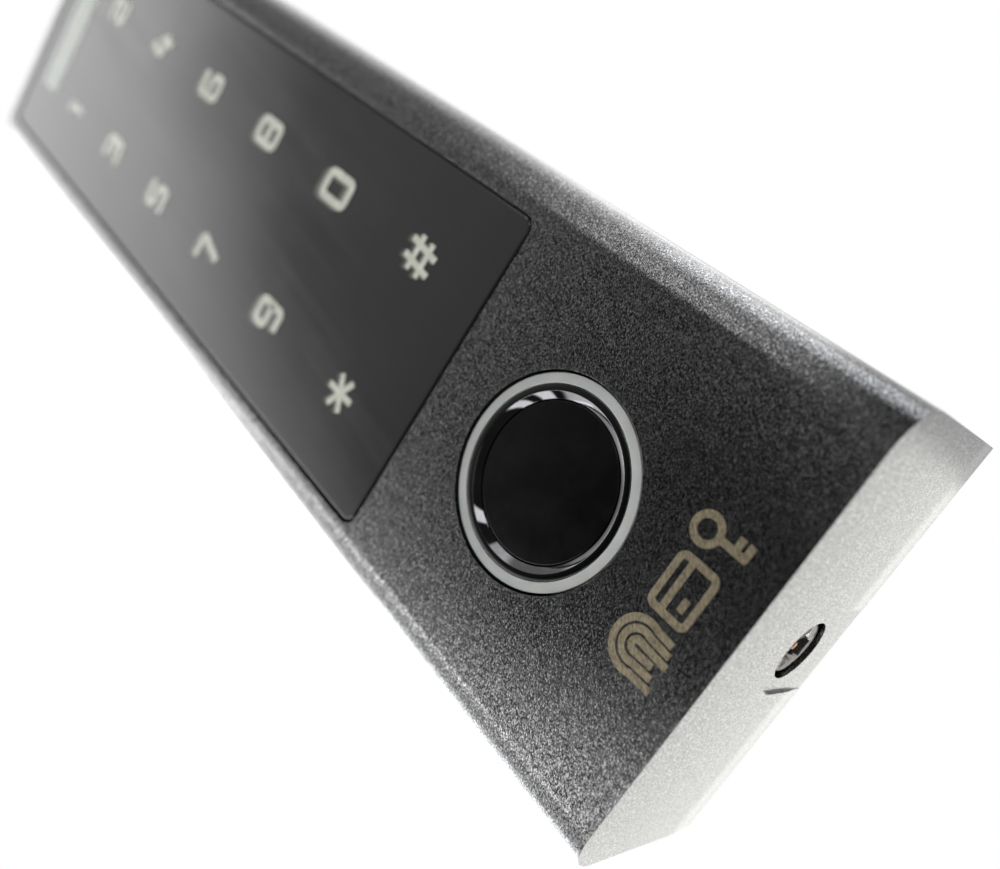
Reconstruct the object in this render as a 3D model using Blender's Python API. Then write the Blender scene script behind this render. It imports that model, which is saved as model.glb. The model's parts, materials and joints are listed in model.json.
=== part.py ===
"""Wall-mounted fingerprint and keypad access terminal, built as separate pieces.

Lengths are in millimetres and become metres where a mesh is made. x runs across the terminal, y
runs into the wall and z runs up; the front face looks towards -y, and the bottom end face is the
plane z = 0. Lengths along y are measured from the wall plane. The root empties then move the whole
terminal by STAND, so that the scene's origin is the middle of the bottom end face.
"""
import math

import bmesh
import bpy
from mathutils import Vector

MM = 0.001

# Housing
WIDTH = 50.0
DEPTH = 24.8
LENGTH = 172.0
EDGE_RADIUS = 4.8
FRONT_WALL = 3.0
END_WALL = 2.5
GAP = 0.3
HALF_WIDTH = WIDTH / 2
FRONT = -DEPTH
INNER_FRONT = FRONT + FRONT_WALL
CAVITY_HALF = 21.5
CAVITY_BACK = -9.8
CAVITY_LOW = 18.5
CAVITY_HIGH = 167.0
REAR_HALF = 23.2
REAR_LOW = 17.0
REAR_HIGH = LENGTH - END_WALL
PLATE_POCKET = -2.0
SIDE_POCKETS = (9.5, 21.5)
SIDE_POCKET_FRONT = -14.5
SIDE_POCKET_HIGH = 15.5
TAB_POCKET_HALF = 7.5
TAB_POCKET_FRONT = -14.0
RAIL_HALF = 16.0
RAIL_FRONT = -3.0
RAIL_BACK = -1.8
RAIL_LOW = 166.5
OPEN = 1.0
STAND = Vector((0.0, DEPTH / 2, 0.0))

# Touch panel and what lies behind it
PANEL_HALF = 19.5
PANEL_LOW = 42.2
PANEL_HIGH = 169.2
PANEL_RADIUS = 1.6
PANEL_FRONT = FRONT + 0.1
PANEL_THICK = 1.5
POCKET_FLOOR = FRONT + 2.2
WINDOW_HALF = 16.9
WINDOW_LOW = 45.0
WINDOW_HIGH = 165.0
KEY_X = 9.2
KEY_PITCH = 18.7
KEY_LOW = 54.1
KEY_ROWS = 6
TAPE_FRONT = PANEL_FRONT + PANEL_THICK + 0.2
TAPE_BACK = TAPE_FRONT + 0.2
LIGHT_FRONT = -22.9
GUIDE_FRONT = -22.4
GUIDE_BACK = -21.6
GUIDE_HIGH = 155.5
DOME_RADIUS = 2.8
BAR_HALF = 10.3
BAR_LOW = 157.8
BAR_HIGH = 164.4
LED_SIZE = (2.8, 0.6, 2.0)
LED_FRONT = -21.3
BOARD_HALF = 17.2
TOUCH_BOARD_FRONT = -20.4
TOUCH_BOARD_BACK = -19.2
TOUCH_BOARD_LOW = 40.0
BOARD_HIGH = 166.5
COIL_FRONT = -18.8
COIL_BACK = -17.9
COIL_OUTER = (15.5, 100.0, 146.0)
COIL_WIDTH = 2.5
MAIN_BOARD_LOW = 38.0
MAIN_BOARD_FRONT = -17.5
MAIN_BOARD_BACK = -15.9
PARTS_FRONT = MAIN_BOARD_BACK + GAP

# Fingerprint reader
SENSOR_Z = 24.2
SENSOR_BORE = 10.85
RING_OUTER = 10.6
RING_INNER = 9.55
RING_FRONT = FRONT + 0.3
BEZEL_OUTER = 9.35
BEZEL_RIM = 8.8
FACE_RADIUS = 8.0
FACE_SINK = 0.6
FACE_THICK = 1.2
BEZEL_BACK = -21.4
STACK_RADIUS = 12.4
GASKET_INNER = 11.3
GASKET_FRONT = -21.6
CARRIER_FRONT = -20.9
CARRIER_BACK = -17.4
CARRIER_FLANGE = 1.0
CARRIER_CUP = 10.0
SENSOR_BOARD_RADIUS = 9.5
SENSOR_BOARD_BACK = -16.1
CHAMBER_HALF = 13.5
CHAMBER_LOW = 11.0
CHAMBER_BACK = -15.5
RIBBON_HALF = 4.0
RIBBON_FRONT = -15.6
RIBBON_ENDS = (20.0, 46.0)

# Rear cover
COVER_FRONT = -8.6
COVER_BACK = -6.6
COVER_HALF = 22.9
POST_X = 20.0
POST_RADIUS = 2.4
POST_ROWS = (23.0, 93.0, 163.0)
POST_HOLE_RADIUS = 1.1
POST_HOLE_FRONT = -18.0
COVER_SCREW_RADIUS = 0.9
COVER_HEAD_RADIUS = 1.9
COVER_SCREW_FRONT = -16.0
SEAL_FRONT = -9.5
SEAL_BACK = -8.9
GROMMET_Z = 87.0
GROMMET_NECK = 3.0
GROMMET_RADIUS = 4.4
CABLE_RADIUS = 1.7
CABLE_Y = -3.5
CABLE_BEND = 2.6
CABLE_INNER_END = -12.0
CABLE_LOW = 68.0
PLUG_HALF = 6.0
PLUG_LOW = 57.5

# Wall plate and its joints with the terminal
PLATE_THICK = 1.6
PLATE_HALF = 22.4
PLATE_LOW = 4.2
PLATE_HIGH = 166.0
TONGUE_X = 10.0
TONGUE_HALF = 4.0
TONGUE_FRONT = -6.0
TONGUE_TOP = 168.7
TAB_LOW = 13.2
TAB_HALF = 6.0
TAB_FRONT = -12.8
SLOT_SPACING = 83.3
SLOT_HALF = 2.25
SLOT_LENGTH = 9.0
CABLE_WINDOW = (11.0, 54.0, 104.0)
LANCED_WINDOW = (16.5, 29.0)
TAB_HOLE_RADIUS = 2.15
HINGE = (0.0, 0.0, LENGTH)

# Security screw, backed out and held captive
SCREW_Y = -8.4
BORE_RADIUS = 3.4
HEAD_RADIUS = 3.2
HEAD_LOW = 0.7
HEAD_HIGH = 4.0
BORE_TOP = 7.9
BOSS_TOP = 9.1
NECK_RADIUS = 1.3
THREAD_RADIUS = 1.9
THREAD_LOW = 10.2
TIP = 12.2
NOTCH_RADIUS = 5.2
NOTCH_DEPTH = 0.3
SCREW_WAY_RADIUS = 2.2
SOCKET_RADIUS = 1.6
SOCKET_DEPTH = 1.8
WASHER_RADIUS = 3.1
KEEPER_RADIUS = 3.6

# Tamper switch
TAMPER_Z = 162.0
TAMPER_HALF = 3.0
TAMPER_BACK = -9.3
COLLAR_RADIUS = 2.0
COLLAR_FRONT = -13.2
PLUNGER_RADIUS = 1.2
PLUNGER_TIP = -PLATE_THICK - GAP


def clear_scene():
    for old in list(bpy.data.objects):
        bpy.data.objects.remove(old, do_unlink=True)


def material(name, colour, roughness, metallic):
    look = bpy.data.materials.new(name)
    look.use_nodes = True
    shader = look.node_tree.nodes["Principled BSDF"]
    shader.inputs["Base Color"].default_value = (*colour, 1.0)
    shader.inputs["Roughness"].default_value = roughness
    shader.inputs["Metallic"].default_value = metallic
    return look


# ---------------------------------------------------------------- mesh helpers


def prism(outline, axis, start, end):
    """Closed solid of a 2-D outline pushed along an axis; its plane's axes keep X, Y, Z order."""
    spot = "xyz".index(axis)
    bm = bmesh.new()
    corners = []
    for a, b in outline:
        point = [a, b]
        point.insert(spot, start)
        corners.append(bm.verts.new(point))
    face = bm.faces.new(corners)
    grown = bmesh.ops.extrude_face_region(bm, geom=[face])
    moved = [item for item in grown["geom"] if isinstance(item, bmesh.types.BMVert)]
    step = [0.0, 0.0, 0.0]
    step[spot] = end - start
    bmesh.ops.translate(bm, verts=moved, vec=step)
    bmesh.ops.recalc_face_normals(bm, faces=bm.faces)
    return bm


def block(x, y, z):
    """Box between two values on each axis."""
    outline = [(x[0], y[0]), (x[1], y[0]), (x[1], y[1]), (x[0], y[1])]
    return prism(outline, "z", z[0], z[1])


def arc(centre, radius, first, last, steps):
    points = []
    for step in range(steps + 1):
        angle = math.radians(first + (last - first) * step / steps)
        points.append((centre[0] + radius * math.cos(angle), centre[1] + radius * math.sin(angle)))
    return points


def rounded_rectangle(low, high, radius, steps=4):
    a0, b0 = low[0] + radius, low[1] + radius
    a1, b1 = high[0] - radius, high[1] - radius
    return (arc((a1, b1), radius, 0, 90, steps) + arc((a0, b1), radius, 90, 180, steps)
            + arc((a0, b0), radius, 180, 270, steps) + arc((a1, b0), radius, 270, 360, steps))


def rounded_slab(half, low, high, radius, y, steps=4):
    """Rounded plate parallel to the wall, centred on x = 0."""
    return prism(rounded_rectangle((-half, low), (half, high), radius, steps), "y", y[0], y[1])


def turned(profile, axis, centre, steps=32):
    """Solid of revolution: (radius, height) points about an axis through a centre.

    A profile that starts and ends at radius 0 makes a full body; any other one is closed as a ring.
    """
    ring = profile[0][0] > 0
    upright = Vector((0, 0, 1)) if axis == "z" else Vector((0, 1, 0))
    bm = bmesh.new()
    verts = [bm.verts.new(Vector((radius, 0, 0)) + upright * height) for radius, height in profile]
    pairs = list(zip(verts, verts[1:]))
    if ring:
        pairs.append((verts[-1], verts[0]))
    edges = [bm.edges.new(pair) for pair in pairs]
    bmesh.ops.spin(bm, geom=verts + edges, cent=(0, 0, 0), axis=upright, angle=math.tau,
                   steps=steps, use_merge=True)
    bmesh.ops.remove_doubles(bm, verts=bm.verts, dist=1e-4)
    bmesh.ops.translate(bm, verts=bm.verts, vec=centre)
    bmesh.ops.recalc_face_normals(bm, faces=bm.faces)
    return bm


def round_bar(radius, axis, centre, start, end, steps=32):
    return turned([(0, start), (radius, start), (radius, end), (0, end)], axis, centre, steps)


def washer(inner, outer, axis, centre, start, end, steps=32):
    profile = [(inner, start), (outer, start), (outer, end), (inner, end)]
    return turned(profile, axis, centre, steps)


def merged(solids):
    """One mesh that holds several separate solids, for use as a cutter or an addition."""
    whole = bmesh.new()
    for solid in solids:
        scratch = bpy.data.meshes.new("scratch")
        solid.to_mesh(scratch)
        whole.from_mesh(scratch)
        solid.free()
        bpy.data.meshes.remove(scratch)
    return whole


# -------------------------------------------------------------- object helpers

PIVOTS = {}


def pivot(name, at, parent=None):
    """Empty on a joint's axis, which carries the pieces that move about it."""
    empty = bpy.data.objects.new(name, None)
    bpy.context.scene.collection.objects.link(empty)
    PIVOTS[name] = Vector(at)
    empty.location = (PIVOTS[name] + STAND) * MM
    if parent:
        empty.parent = parent
        empty.location = (PIVOTS[name] - PIVOTS[parent.name]) * MM
    return empty


def place(name, bm, look, parent, origin):
    """Turns a solid given in the terminal's frame into an object whose origin is the point given."""
    bmesh.ops.translate(bm, verts=bm.verts, vec=-Vector(origin))
    bmesh.ops.scale(bm, verts=bm.verts, vec=(MM, MM, MM))
    mesh = bpy.data.meshes.new(name)
    bm.to_mesh(mesh)
    bm.free()
    if look:
        mesh.materials.append(look)
    mesh.shade_smooth()
    mesh.set_sharp_from_angle(angle=math.radians(35))
    obj = bpy.data.objects.new(name, mesh)
    bpy.context.scene.collection.objects.link(obj)
    obj.parent = parent
    obj.location = (Vector(origin) - PIVOTS[parent.name]) * MM
    return obj


def tool(name, bm, parent, origin=(0, 0, 0)):
    """Shape used only to cut or to build up another piece."""
    obj = place(name, bm, None, parent, origin)
    obj.hide_render = True
    obj.display_type = "WIRE"
    return obj


def combine(obj, other, operation):
    change = obj.modifiers.new(other.name, "BOOLEAN")
    change.operation = operation
    change.solver = "EXACT"
    change.object = other


def cut(obj, bm, name):
    combine(obj, tool(name, bm, obj.parent), "DIFFERENCE")


def join(obj, bm, name):
    combine(obj, tool(name, bm, obj.parent), "UNION")


def key_centres():
    """Centres of the key legends, left column then right column, bottom row first."""
    return [(x, KEY_LOW + row * KEY_PITCH) for x in (-KEY_X, KEY_X) for row in range(KEY_ROWS)]


# -------------------------------------------------------------------- housing


def housing_outline():
    """Section across the terminal: square at the wall, rounded along both front edges."""
    inset = HALF_WIDTH - EDGE_RADIUS
    low = FRONT + EDGE_RADIUS
    return ([(-HALF_WIDTH, 0.0)] + arc((-inset, low), EDGE_RADIUS, 180, 270, 10)
            + arc((inset, low), EDGE_RADIUS, 270, 360, 10) + [(HALF_WIDTH, 0.0)])


def notch_outline():
    """Thumb notch in the bottom end face, open at the wall and round in front of the screw."""
    return ([(NOTCH_RADIUS, OPEN), (-NOTCH_RADIUS, OPEN)]
            + arc((0, SCREW_Y), NOTCH_RADIUS, 180, 360, 20))


def post_centres():
    return [(x, z) for z in POST_ROWS for x in (-POST_X, POST_X)]


def cut_front_openings(housing):
    pocket = rounded_slab(PANEL_HALF + GAP, PANEL_LOW - GAP, PANEL_HIGH + GAP,
                          PANEL_RADIUS + GAP, (FRONT - OPEN, POCKET_FLOOR))
    cut(housing, pocket, "panel_pocket_cut")
    window = rounded_slab(WINDOW_HALF, WINDOW_LOW, WINDOW_HIGH, 1.0, (FRONT - OPEN, INNER_FRONT + OPEN))
    cut(housing, window, "panel_window_cut")
    bore = round_bar(SENSOR_BORE, "y", (0, 0, SENSOR_Z), FRONT - OPEN, INNER_FRONT + OPEN, 64)
    cut(housing, bore, "sensor_bore_cut")


def cut_hollow(housing):
    cut(housing, block((-CAVITY_HALF, CAVITY_HALF), (INNER_FRONT, CAVITY_BACK),
                       (CAVITY_LOW, CAVITY_HIGH)), "electronics_cavity_cut")
    cut(housing, block((-CHAMBER_HALF, CHAMBER_HALF), (INNER_FRONT, CHAMBER_BACK),
                       (CHAMBER_LOW, CAVITY_LOW + OPEN)), "sensor_chamber_cut")
    cut(housing, block((-REAR_HALF, REAR_HALF), (CAVITY_BACK - 0.001, OPEN), (REAR_LOW, REAR_HIGH)),
        "rear_recess_cut")
    cut(housing, block((-REAR_HALF, REAR_HALF), (PLATE_POCKET, OPEN), (END_WALL, REAR_LOW + OPEN)),
        "plate_pocket_cut")
    cut(housing, block((-TAB_POCKET_HALF, TAB_POCKET_HALF), (TAB_POCKET_FRONT, OPEN),
                       (BOSS_TOP, REAR_LOW + OPEN)), "tab_pocket_cut")
    for side, name in ((-1, "left"), (1, "right")):
        x = sorted(side * edge for edge in SIDE_POCKETS)
        cut(housing, block(x, (SIDE_POCKET_FRONT, OPEN), (END_WALL, SIDE_POCKET_HIGH)),
            name + "_pocket_cut")


def cut_screw_way(housing):
    centre = (0, SCREW_Y, 0)
    cut(housing, round_bar(BORE_RADIUS, "z", centre, -OPEN, BORE_TOP, 40), "screw_head_bore_cut")
    cut(housing, round_bar(SCREW_WAY_RADIUS, "z", centre, -OPEN, BOSS_TOP + OPEN, 24),
        "screw_way_cut")
    cut(housing, prism(notch_outline(), "z", -OPEN, NOTCH_DEPTH), "thumb_notch_cut")


def add_rail_and_posts(housing):
    """Rail that drops behind the wall plate's tongues, and posts for the rear cover's screws."""
    rail = block((-RAIL_HALF, RAIL_HALF), (RAIL_FRONT, RAIL_BACK), (RAIL_LOW, REAR_HIGH + OPEN))
    join(housing, rail, "hook_rail_add")
    posts = [round_bar(POST_RADIUS, "y", (x, 0, z), INNER_FRONT - OPEN, CAVITY_BACK - 0.2, 20)
             for x, z in post_centres()]
    join(housing, merged(posts), "screw_posts_add")
    holes = [round_bar(POST_HOLE_RADIUS, "y", (x, 0, z), POST_HOLE_FRONT, CAVITY_BACK + OPEN, 16)
             for x, z in post_centres()]
    cut(housing, merged(holes), "post_holes_cut")


def build_housing(terminal, looks):
    solid = prism(housing_outline(), "z", 0.0, LENGTH)
    housing = place("front_housing", solid, looks["housing"], terminal, (0, 0, 0))
    cut_hollow(housing)
    cut_front_openings(housing)
    cut_screw_way(housing)
    add_rail_and_posts(housing)


# ---------------------------------------------------------------- touch keypad


def build_panel(terminal, looks):
    back = PANEL_FRONT + PANEL_THICK
    panel = rounded_slab(PANEL_HALF, PANEL_LOW, PANEL_HIGH, PANEL_RADIUS, (PANEL_FRONT, back), 6)
    place("touch_panel", panel, looks["panel"], terminal, (0, PANEL_FRONT, PANEL_LOW))
    tape = rounded_slab(PANEL_HALF - 0.2, PANEL_LOW + 0.2, PANEL_HIGH - 0.2, 1.2, (TAPE_FRONT, TAPE_BACK))
    tape_frame = place("panel_adhesive", tape, looks["adhesive"], terminal, (0, back, PANEL_LOW))
    opening = rounded_slab(WINDOW_HALF + 0.4, WINDOW_LOW - 0.4, WINDOW_HIGH + 0.4, 1.0,
                           (back - OPEN, back + OPEN))
    cut(tape_frame, opening, "adhesive_opening_cut")


def build_light_guides(terminal, looks):
    plate = rounded_slab(WINDOW_HALF - 0.5, WINDOW_LOW + 0.5, GUIDE_HIGH, 1.0, (GUIDE_FRONT, GUIDE_BACK))
    guide = place("key_light_guide", plate, looks["diffuser"], terminal, (0, GUIDE_FRONT, WINDOW_LOW))
    inside = (GUIDE_FRONT + GUIDE_BACK) / 2
    domes = [round_bar(DOME_RADIUS, "y", (x, 0, z), LIGHT_FRONT, inside, 16) for x, z in key_centres()]
    join(guide, merged(domes), "key_domes_add")
    bar = rounded_slab(BAR_HALF, BAR_LOW, BAR_HIGH, 0.8, (LIGHT_FRONT, GUIDE_BACK))
    place("status_light_bar", bar, looks["diffuser"], terminal, (0, LIGHT_FRONT, BAR_LOW))


def build_lamp(name, x, z, terminal, looks):
    half_x, half_z = LED_SIZE[0] / 2, LED_SIZE[2] / 2
    solid = block((x - half_x, x + half_x), (LED_FRONT, LED_FRONT + LED_SIZE[1]),
                  (z - half_z, z + half_z))
    place(name, solid, looks["lamp"], terminal, (x, LED_FRONT, z))


def build_touch_board(terminal, looks):
    board = rounded_slab(BOARD_HALF, TOUCH_BOARD_LOW, BOARD_HIGH, 1.0, (TOUCH_BOARD_FRONT, TOUCH_BOARD_BACK))
    place("touch_board", board, looks["circuit_board"], terminal, (0, TOUCH_BOARD_FRONT, TOUCH_BOARD_LOW))
    for number, (x, z) in enumerate(key_centres(), start=1):
        build_lamp(f"key_lamp_{number}", x, z, terminal, looks)
    for side, x in (("left", -5.0), ("right", 5.0)):
        build_lamp(f"status_lamp_{side}", x, (BAR_LOW + BAR_HIGH) / 2, terminal, looks)
    half, low, high = COIL_OUTER
    coil = rounded_slab(half, low, high, 4.0, (COIL_FRONT, COIL_BACK))
    ring = place("antenna_coil", coil, looks["copper"], terminal, (0, COIL_FRONT, (low + high) / 2))
    opening = rounded_slab(half - COIL_WIDTH, low + COIL_WIDTH, high - COIL_WIDTH, 2.5,
                           (COIL_FRONT - OPEN, COIL_BACK + OPEN))
    cut(ring, opening, "coil_opening_cut")


# ---------------------------------------------------------- fingerprint reader


def build_sensor_front(terminal, looks):
    centre = (0, 0, SENSOR_Z)
    ring = washer(RING_INNER, RING_OUTER, "y", centre, RING_FRONT, -22.0, 64)
    place("sensor_light_ring", ring, looks["light_ring"], terminal, (0, RING_FRONT, SENSOR_Z))
    bezel_bore = FACE_RADIUS + 0.2
    profile = [(bezel_bore, RING_FRONT + FACE_SINK), (BEZEL_RIM, RING_FRONT),
               (BEZEL_OUTER, RING_FRONT), (BEZEL_OUTER, BEZEL_BACK), (bezel_bore, BEZEL_BACK)]
    place("sensor_bezel", turned(profile, "y", centre, 64), looks["bezel"], terminal,
          (0, RING_FRONT, SENSOR_Z))
    face_front = RING_FRONT + FACE_SINK
    face = round_bar(FACE_RADIUS, "y", centre, face_front, face_front + FACE_THICK, 64)
    place("sensor_face", face, looks["sensor_face"], terminal, (0, face_front, SENSOR_Z))


def build_sensor_body(terminal, looks):
    centre = (0, 0, SENSOR_Z)
    gasket_back = GASKET_FRONT + 0.4
    gasket = washer(GASKET_INNER, STACK_RADIUS, "y", centre, GASKET_FRONT, gasket_back, 40)
    place("sensor_gasket", gasket, looks["seal"], terminal, (0, GASKET_FRONT, SENSOR_Z))
    flange_back = CARRIER_FRONT + CARRIER_FLANGE
    profile = [(0, CARRIER_FRONT), (STACK_RADIUS, CARRIER_FRONT), (STACK_RADIUS, flange_back),
               (CARRIER_CUP, flange_back), (CARRIER_CUP, CARRIER_BACK), (0, CARRIER_BACK)]
    carrier = turned(profile, "y", centre, 40)
    place("sensor_carrier", carrier, looks["black_plastic"], terminal, (0, CARRIER_FRONT, SENSOR_Z))
    retainer_front = flange_back + GAP
    retainer = washer(CARRIER_CUP + GAP, STACK_RADIUS, "y", centre, retainer_front, retainer_front + 1.4, 40)
    place("sensor_retaining_ring", retainer, looks["steel"], terminal, (0, retainer_front, SENSOR_Z))
    board_front = CARRIER_BACK + GAP
    board = round_bar(SENSOR_BOARD_RADIUS, "y", centre, board_front, SENSOR_BOARD_BACK, 40)
    place("sensor_board", board, looks["circuit_board"], terminal, (0, board_front, SENSOR_Z))
    low, high = RIBBON_ENDS
    ribbon = rounded_slab(RIBBON_HALF, low, high, 0.5, (RIBBON_FRONT, RIBBON_FRONT + 0.3))
    place("sensor_ribbon", ribbon, looks["ribbon"], terminal, (0, RIBBON_FRONT, low))


# ------------------------------------------------------------------ main board


def build_main_board(terminal, looks):
    board = rounded_slab(BOARD_HALF, MAIN_BOARD_LOW, BOARD_HIGH, 1.0, (MAIN_BOARD_FRONT, MAIN_BOARD_BACK))
    place("main_board", board, looks["circuit_board"], terminal, (0, MAIN_BOARD_FRONT, MAIN_BOARD_LOW))
    header_front = TOUCH_BOARD_BACK + GAP
    header = block((-8.0, 8.0), (header_front, MAIN_BOARD_FRONT - GAP), (64.0, 68.0))
    place("board_to_board_header", header, looks["black_plastic"], terminal, (0, header_front, 66.0))
    for name, x, y_back, z, look in (
            ("processor", (-5.0, 5.0), -14.4, (66.0, 76.0), "chip"),
            ("relay", (-13.0, 2.0), -10.4, (118.0, 128.0), "relay"),
            ("power_inductor", (-13.0, -6.0), -12.2, (96.0, 103.0), "chip"),
            ("harness_socket", (-11.0, 11.0), -10.4, (50.0, 56.0), "white_plastic")):
        solid = block(x, (PARTS_FRONT, y_back), z)
        place(name, solid, looks[look], terminal, (x[0], PARTS_FRONT, z[0]))
    buzzer = round_bar(4.5, "y", (9.0, 0, 108.0), PARTS_FRONT, -11.2, 28)
    place("buzzer", buzzer, looks["black_plastic"], terminal, (9.0, PARTS_FRONT, 108.0))
    capacitor = round_bar(3.1, "y", (10.0, 0, 126.0), PARTS_FRONT, -10.2, 24)
    place("capacitor", capacitor, looks["aluminium"], terminal, (10.0, PARTS_FRONT, 126.0))


def build_tamper_body(terminal, looks):
    shell = block((-TAMPER_HALF, TAMPER_HALF), (PARTS_FRONT, TAMPER_BACK),
                  (TAMPER_Z - TAMPER_HALF, TAMPER_Z + TAMPER_HALF))
    body = place("tamper_switch_body", shell, looks["black_plastic"], terminal,
                 (0, PARTS_FRONT, TAMPER_Z))
    centre = (0, 0, TAMPER_Z)
    cut(body, round_bar(COLLAR_RADIUS + GAP, "y", centre, -15.1, -10.0, 20), "collar_room_cut")
    cut(body, round_bar(PLUNGER_RADIUS + GAP, "y", centre, -10.5, TAMPER_BACK + OPEN, 20),
        "plunger_way_cut")


def helix(radius, wire, start, end, turns, centre):
    """Closed spring wire along y: a tube swept round a helix, with flat ends."""
    around, per_turn = 6, 12
    count = turns * per_turn
    bm = bmesh.new()
    loops = []
    for step in range(count + 1):
        angle = math.tau * step / per_turn
        out = Vector((math.cos(angle), 0, math.sin(angle)))
        hub = Vector(centre) + out * radius + Vector((0, start + (end - start) * step / count, 0))
        loop = [bm.verts.new(hub + wire * (out * math.cos(turn) + Vector((0, math.sin(turn), 0))))
                for turn in (math.tau * side / around for side in range(around))]
        loops.append(loop)
    for low, high in zip(loops, loops[1:]):
        for side in range(around):
            after = (side + 1) % around
            bm.faces.new((low[side], low[after], high[after], high[side]))
    bm.faces.new(loops[0])
    bm.faces.new(loops[-1])
    bmesh.ops.recalc_face_normals(bm, faces=bm.faces)
    return bm


def build_tamper_spring(terminal, looks):
    wire = 0.2
    coil = helix(1.5, wire, -15.1 + GAP + wire, COLLAR_FRONT - 0.1 - wire, 3, (0, 0, TAMPER_Z))
    place("tamper_spring", coil, looks["steel"], terminal, (0, -15.1, TAMPER_Z))


def build_plunger(terminal, looks):
    start = pivot("tamper_plunger_pivot", (0, PLUNGER_TIP, TAMPER_Z), terminal)
    dome = [(PLUNGER_RADIUS * math.cos(angle), PLUNGER_TIP - 0.6 + 0.6 * math.sin(angle))
            for angle in (math.radians(step * 22.5) for step in range(4))]
    profile = ([(0, COLLAR_FRONT), (COLLAR_RADIUS, COLLAR_FRONT), (COLLAR_RADIUS, COLLAR_FRONT + 0.8),
                (PLUNGER_RADIUS, COLLAR_FRONT + 0.8)] + dome + [(0, PLUNGER_TIP)])
    plunger = turned(profile, "y", (0, 0, TAMPER_Z), 20)
    place("tamper_plunger", plunger, looks["white_plastic"], start, (0, PLUNGER_TIP, TAMPER_Z))


# ------------------------------------------------------------------ rear cover


def build_rear_cover(terminal, looks):
    low, high = REAR_LOW + GAP, REAR_HIGH - GAP
    plate = rounded_slab(COVER_HALF, low, high, 1.0, (COVER_FRONT, COVER_BACK))
    cover = place("rear_cover", plate, looks["black_plastic"], terminal, (0, COVER_BACK, low))
    through = (COVER_FRONT - OPEN, COVER_BACK + OPEN)
    holes = [round_bar(1.3, "y", (x, 0, z), *through, 16) for x, z in post_centres()]
    holes.append(round_bar(3.3, "y", (0, 0, GROMMET_Z), *through, 28))
    holes.append(round_bar(PLUNGER_RADIUS + 0.4, "y", (0, 0, TAMPER_Z), *through, 20))
    cut(cover, merged(holes), "cover_holes_cut")

    seal = rounded_slab(COVER_HALF, low, high, 1.0, (SEAL_FRONT, SEAL_BACK))
    frame = place("rear_seal", seal, looks["seal"], terminal, (0, SEAL_FRONT, low))
    opening = rounded_slab(CAVITY_HALF + 0.1, CAVITY_LOW - 0.1, CAVITY_HIGH + 0.1, 1.0,
                           (SEAL_FRONT - OPEN, SEAL_BACK + OPEN))
    cut(frame, opening, "seal_opening_cut")


def build_cover_screws(terminal, looks):
    head_low = COVER_BACK + GAP
    for number, (x, z) in enumerate(post_centres(), start=1):
        profile = [(0, COVER_SCREW_FRONT), (COVER_SCREW_RADIUS, COVER_SCREW_FRONT),
                   (COVER_SCREW_RADIUS, head_low), (COVER_HEAD_RADIUS, head_low),
                   (COVER_HEAD_RADIUS, head_low + 0.8), (COVER_HEAD_RADIUS - 0.6, head_low + 1.2),
                   (0, head_low + 1.2)]
        screw = turned(profile, "y", (x, 0, z), 16)
        place(f"cover_screw_{number}", screw, looks["steel"], terminal, (x, head_low, z))


def bent_tube(path, radius, around=14):
    """Round tube through a path in the plane x = 0, with flat ends."""
    bm = bmesh.new()
    loops = []
    for index, point in enumerate(path):
        before = Vector(path[max(index - 1, 0)])
        after = Vector(path[min(index + 1, len(path) - 1)])
        across = (after - before).normalized().cross(Vector((1, 0, 0)))
        loops.append([bm.verts.new(Vector(point) + radius * (Vector((math.cos(turn), 0, 0))
                                                             + across * math.sin(turn)))
                      for turn in (math.tau * side / around for side in range(around))])
    for low, high in zip(loops, loops[1:]):
        for side in range(around):
            after = (side + 1) % around
            bm.faces.new((low[side], low[after], high[after], high[side]))
    bm.faces.new(loops[0])
    bm.faces.new(loops[-1])
    bmesh.ops.recalc_face_normals(bm, faces=bm.faces)
    return bm


def build_cable(terminal, looks):
    centre = (0, 0, GROMMET_Z)
    hole = CABLE_RADIUS + 0.2
    inner_lip, outer_lip = COVER_FRONT - GAP, COVER_BACK + GAP
    front, back = inner_lip - 0.9, outer_lip + 0.7
    profile = [(hole, front), (GROMMET_RADIUS, front), (GROMMET_RADIUS, inner_lip),
               (GROMMET_NECK, inner_lip), (GROMMET_NECK, outer_lip), (GROMMET_RADIUS, outer_lip),
               (GROMMET_RADIUS, back), (hole, back)]
    place("cable_grommet", turned(profile, "y", centre, 28), looks["seal"], terminal,
          (0, back, GROMMET_Z))
    corner = (CABLE_Y - CABLE_BEND, GROMMET_Z - CABLE_BEND)
    path = [(0.0, CABLE_INNER_END, GROMMET_Z)]
    path += [(0.0, y, z) for y, z in arc(corner, CABLE_BEND, 90, 0, 6)]
    path += [(0.0, CABLE_Y, CABLE_LOW)]
    place("cable", bent_tube(path, CABLE_RADIUS), looks["cable"], terminal, (0, CABLE_Y, GROMMET_Z))
    plug_high = CABLE_LOW - GAP
    plug = block((-PLUG_HALF, PLUG_HALF), (CABLE_Y - 1.8, CABLE_Y + 1.5), (PLUG_LOW, plug_high))
    place("cable_plug", plug, looks["white_plastic"], terminal, (0, CABLE_Y, plug_high))


# ------------------------------------------------------- wall plate and fixing


def tongue(x):
    """Hook of the wall plate: steps forward from its top edge and stands in front of the rail."""
    low = PLATE_HIGH - PLATE_THICK
    outline = [(-0.5, low), (TONGUE_FRONT, low), (TONGUE_FRONT, TONGUE_TOP),
               (TONGUE_FRONT + PLATE_THICK, TONGUE_TOP), (TONGUE_FRONT + PLATE_THICK, PLATE_HIGH - 0.01),
               (-0.5, PLATE_HIGH - 0.01)]
    return prism(outline, "x", x - TONGUE_HALF, x + TONGUE_HALF)


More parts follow.
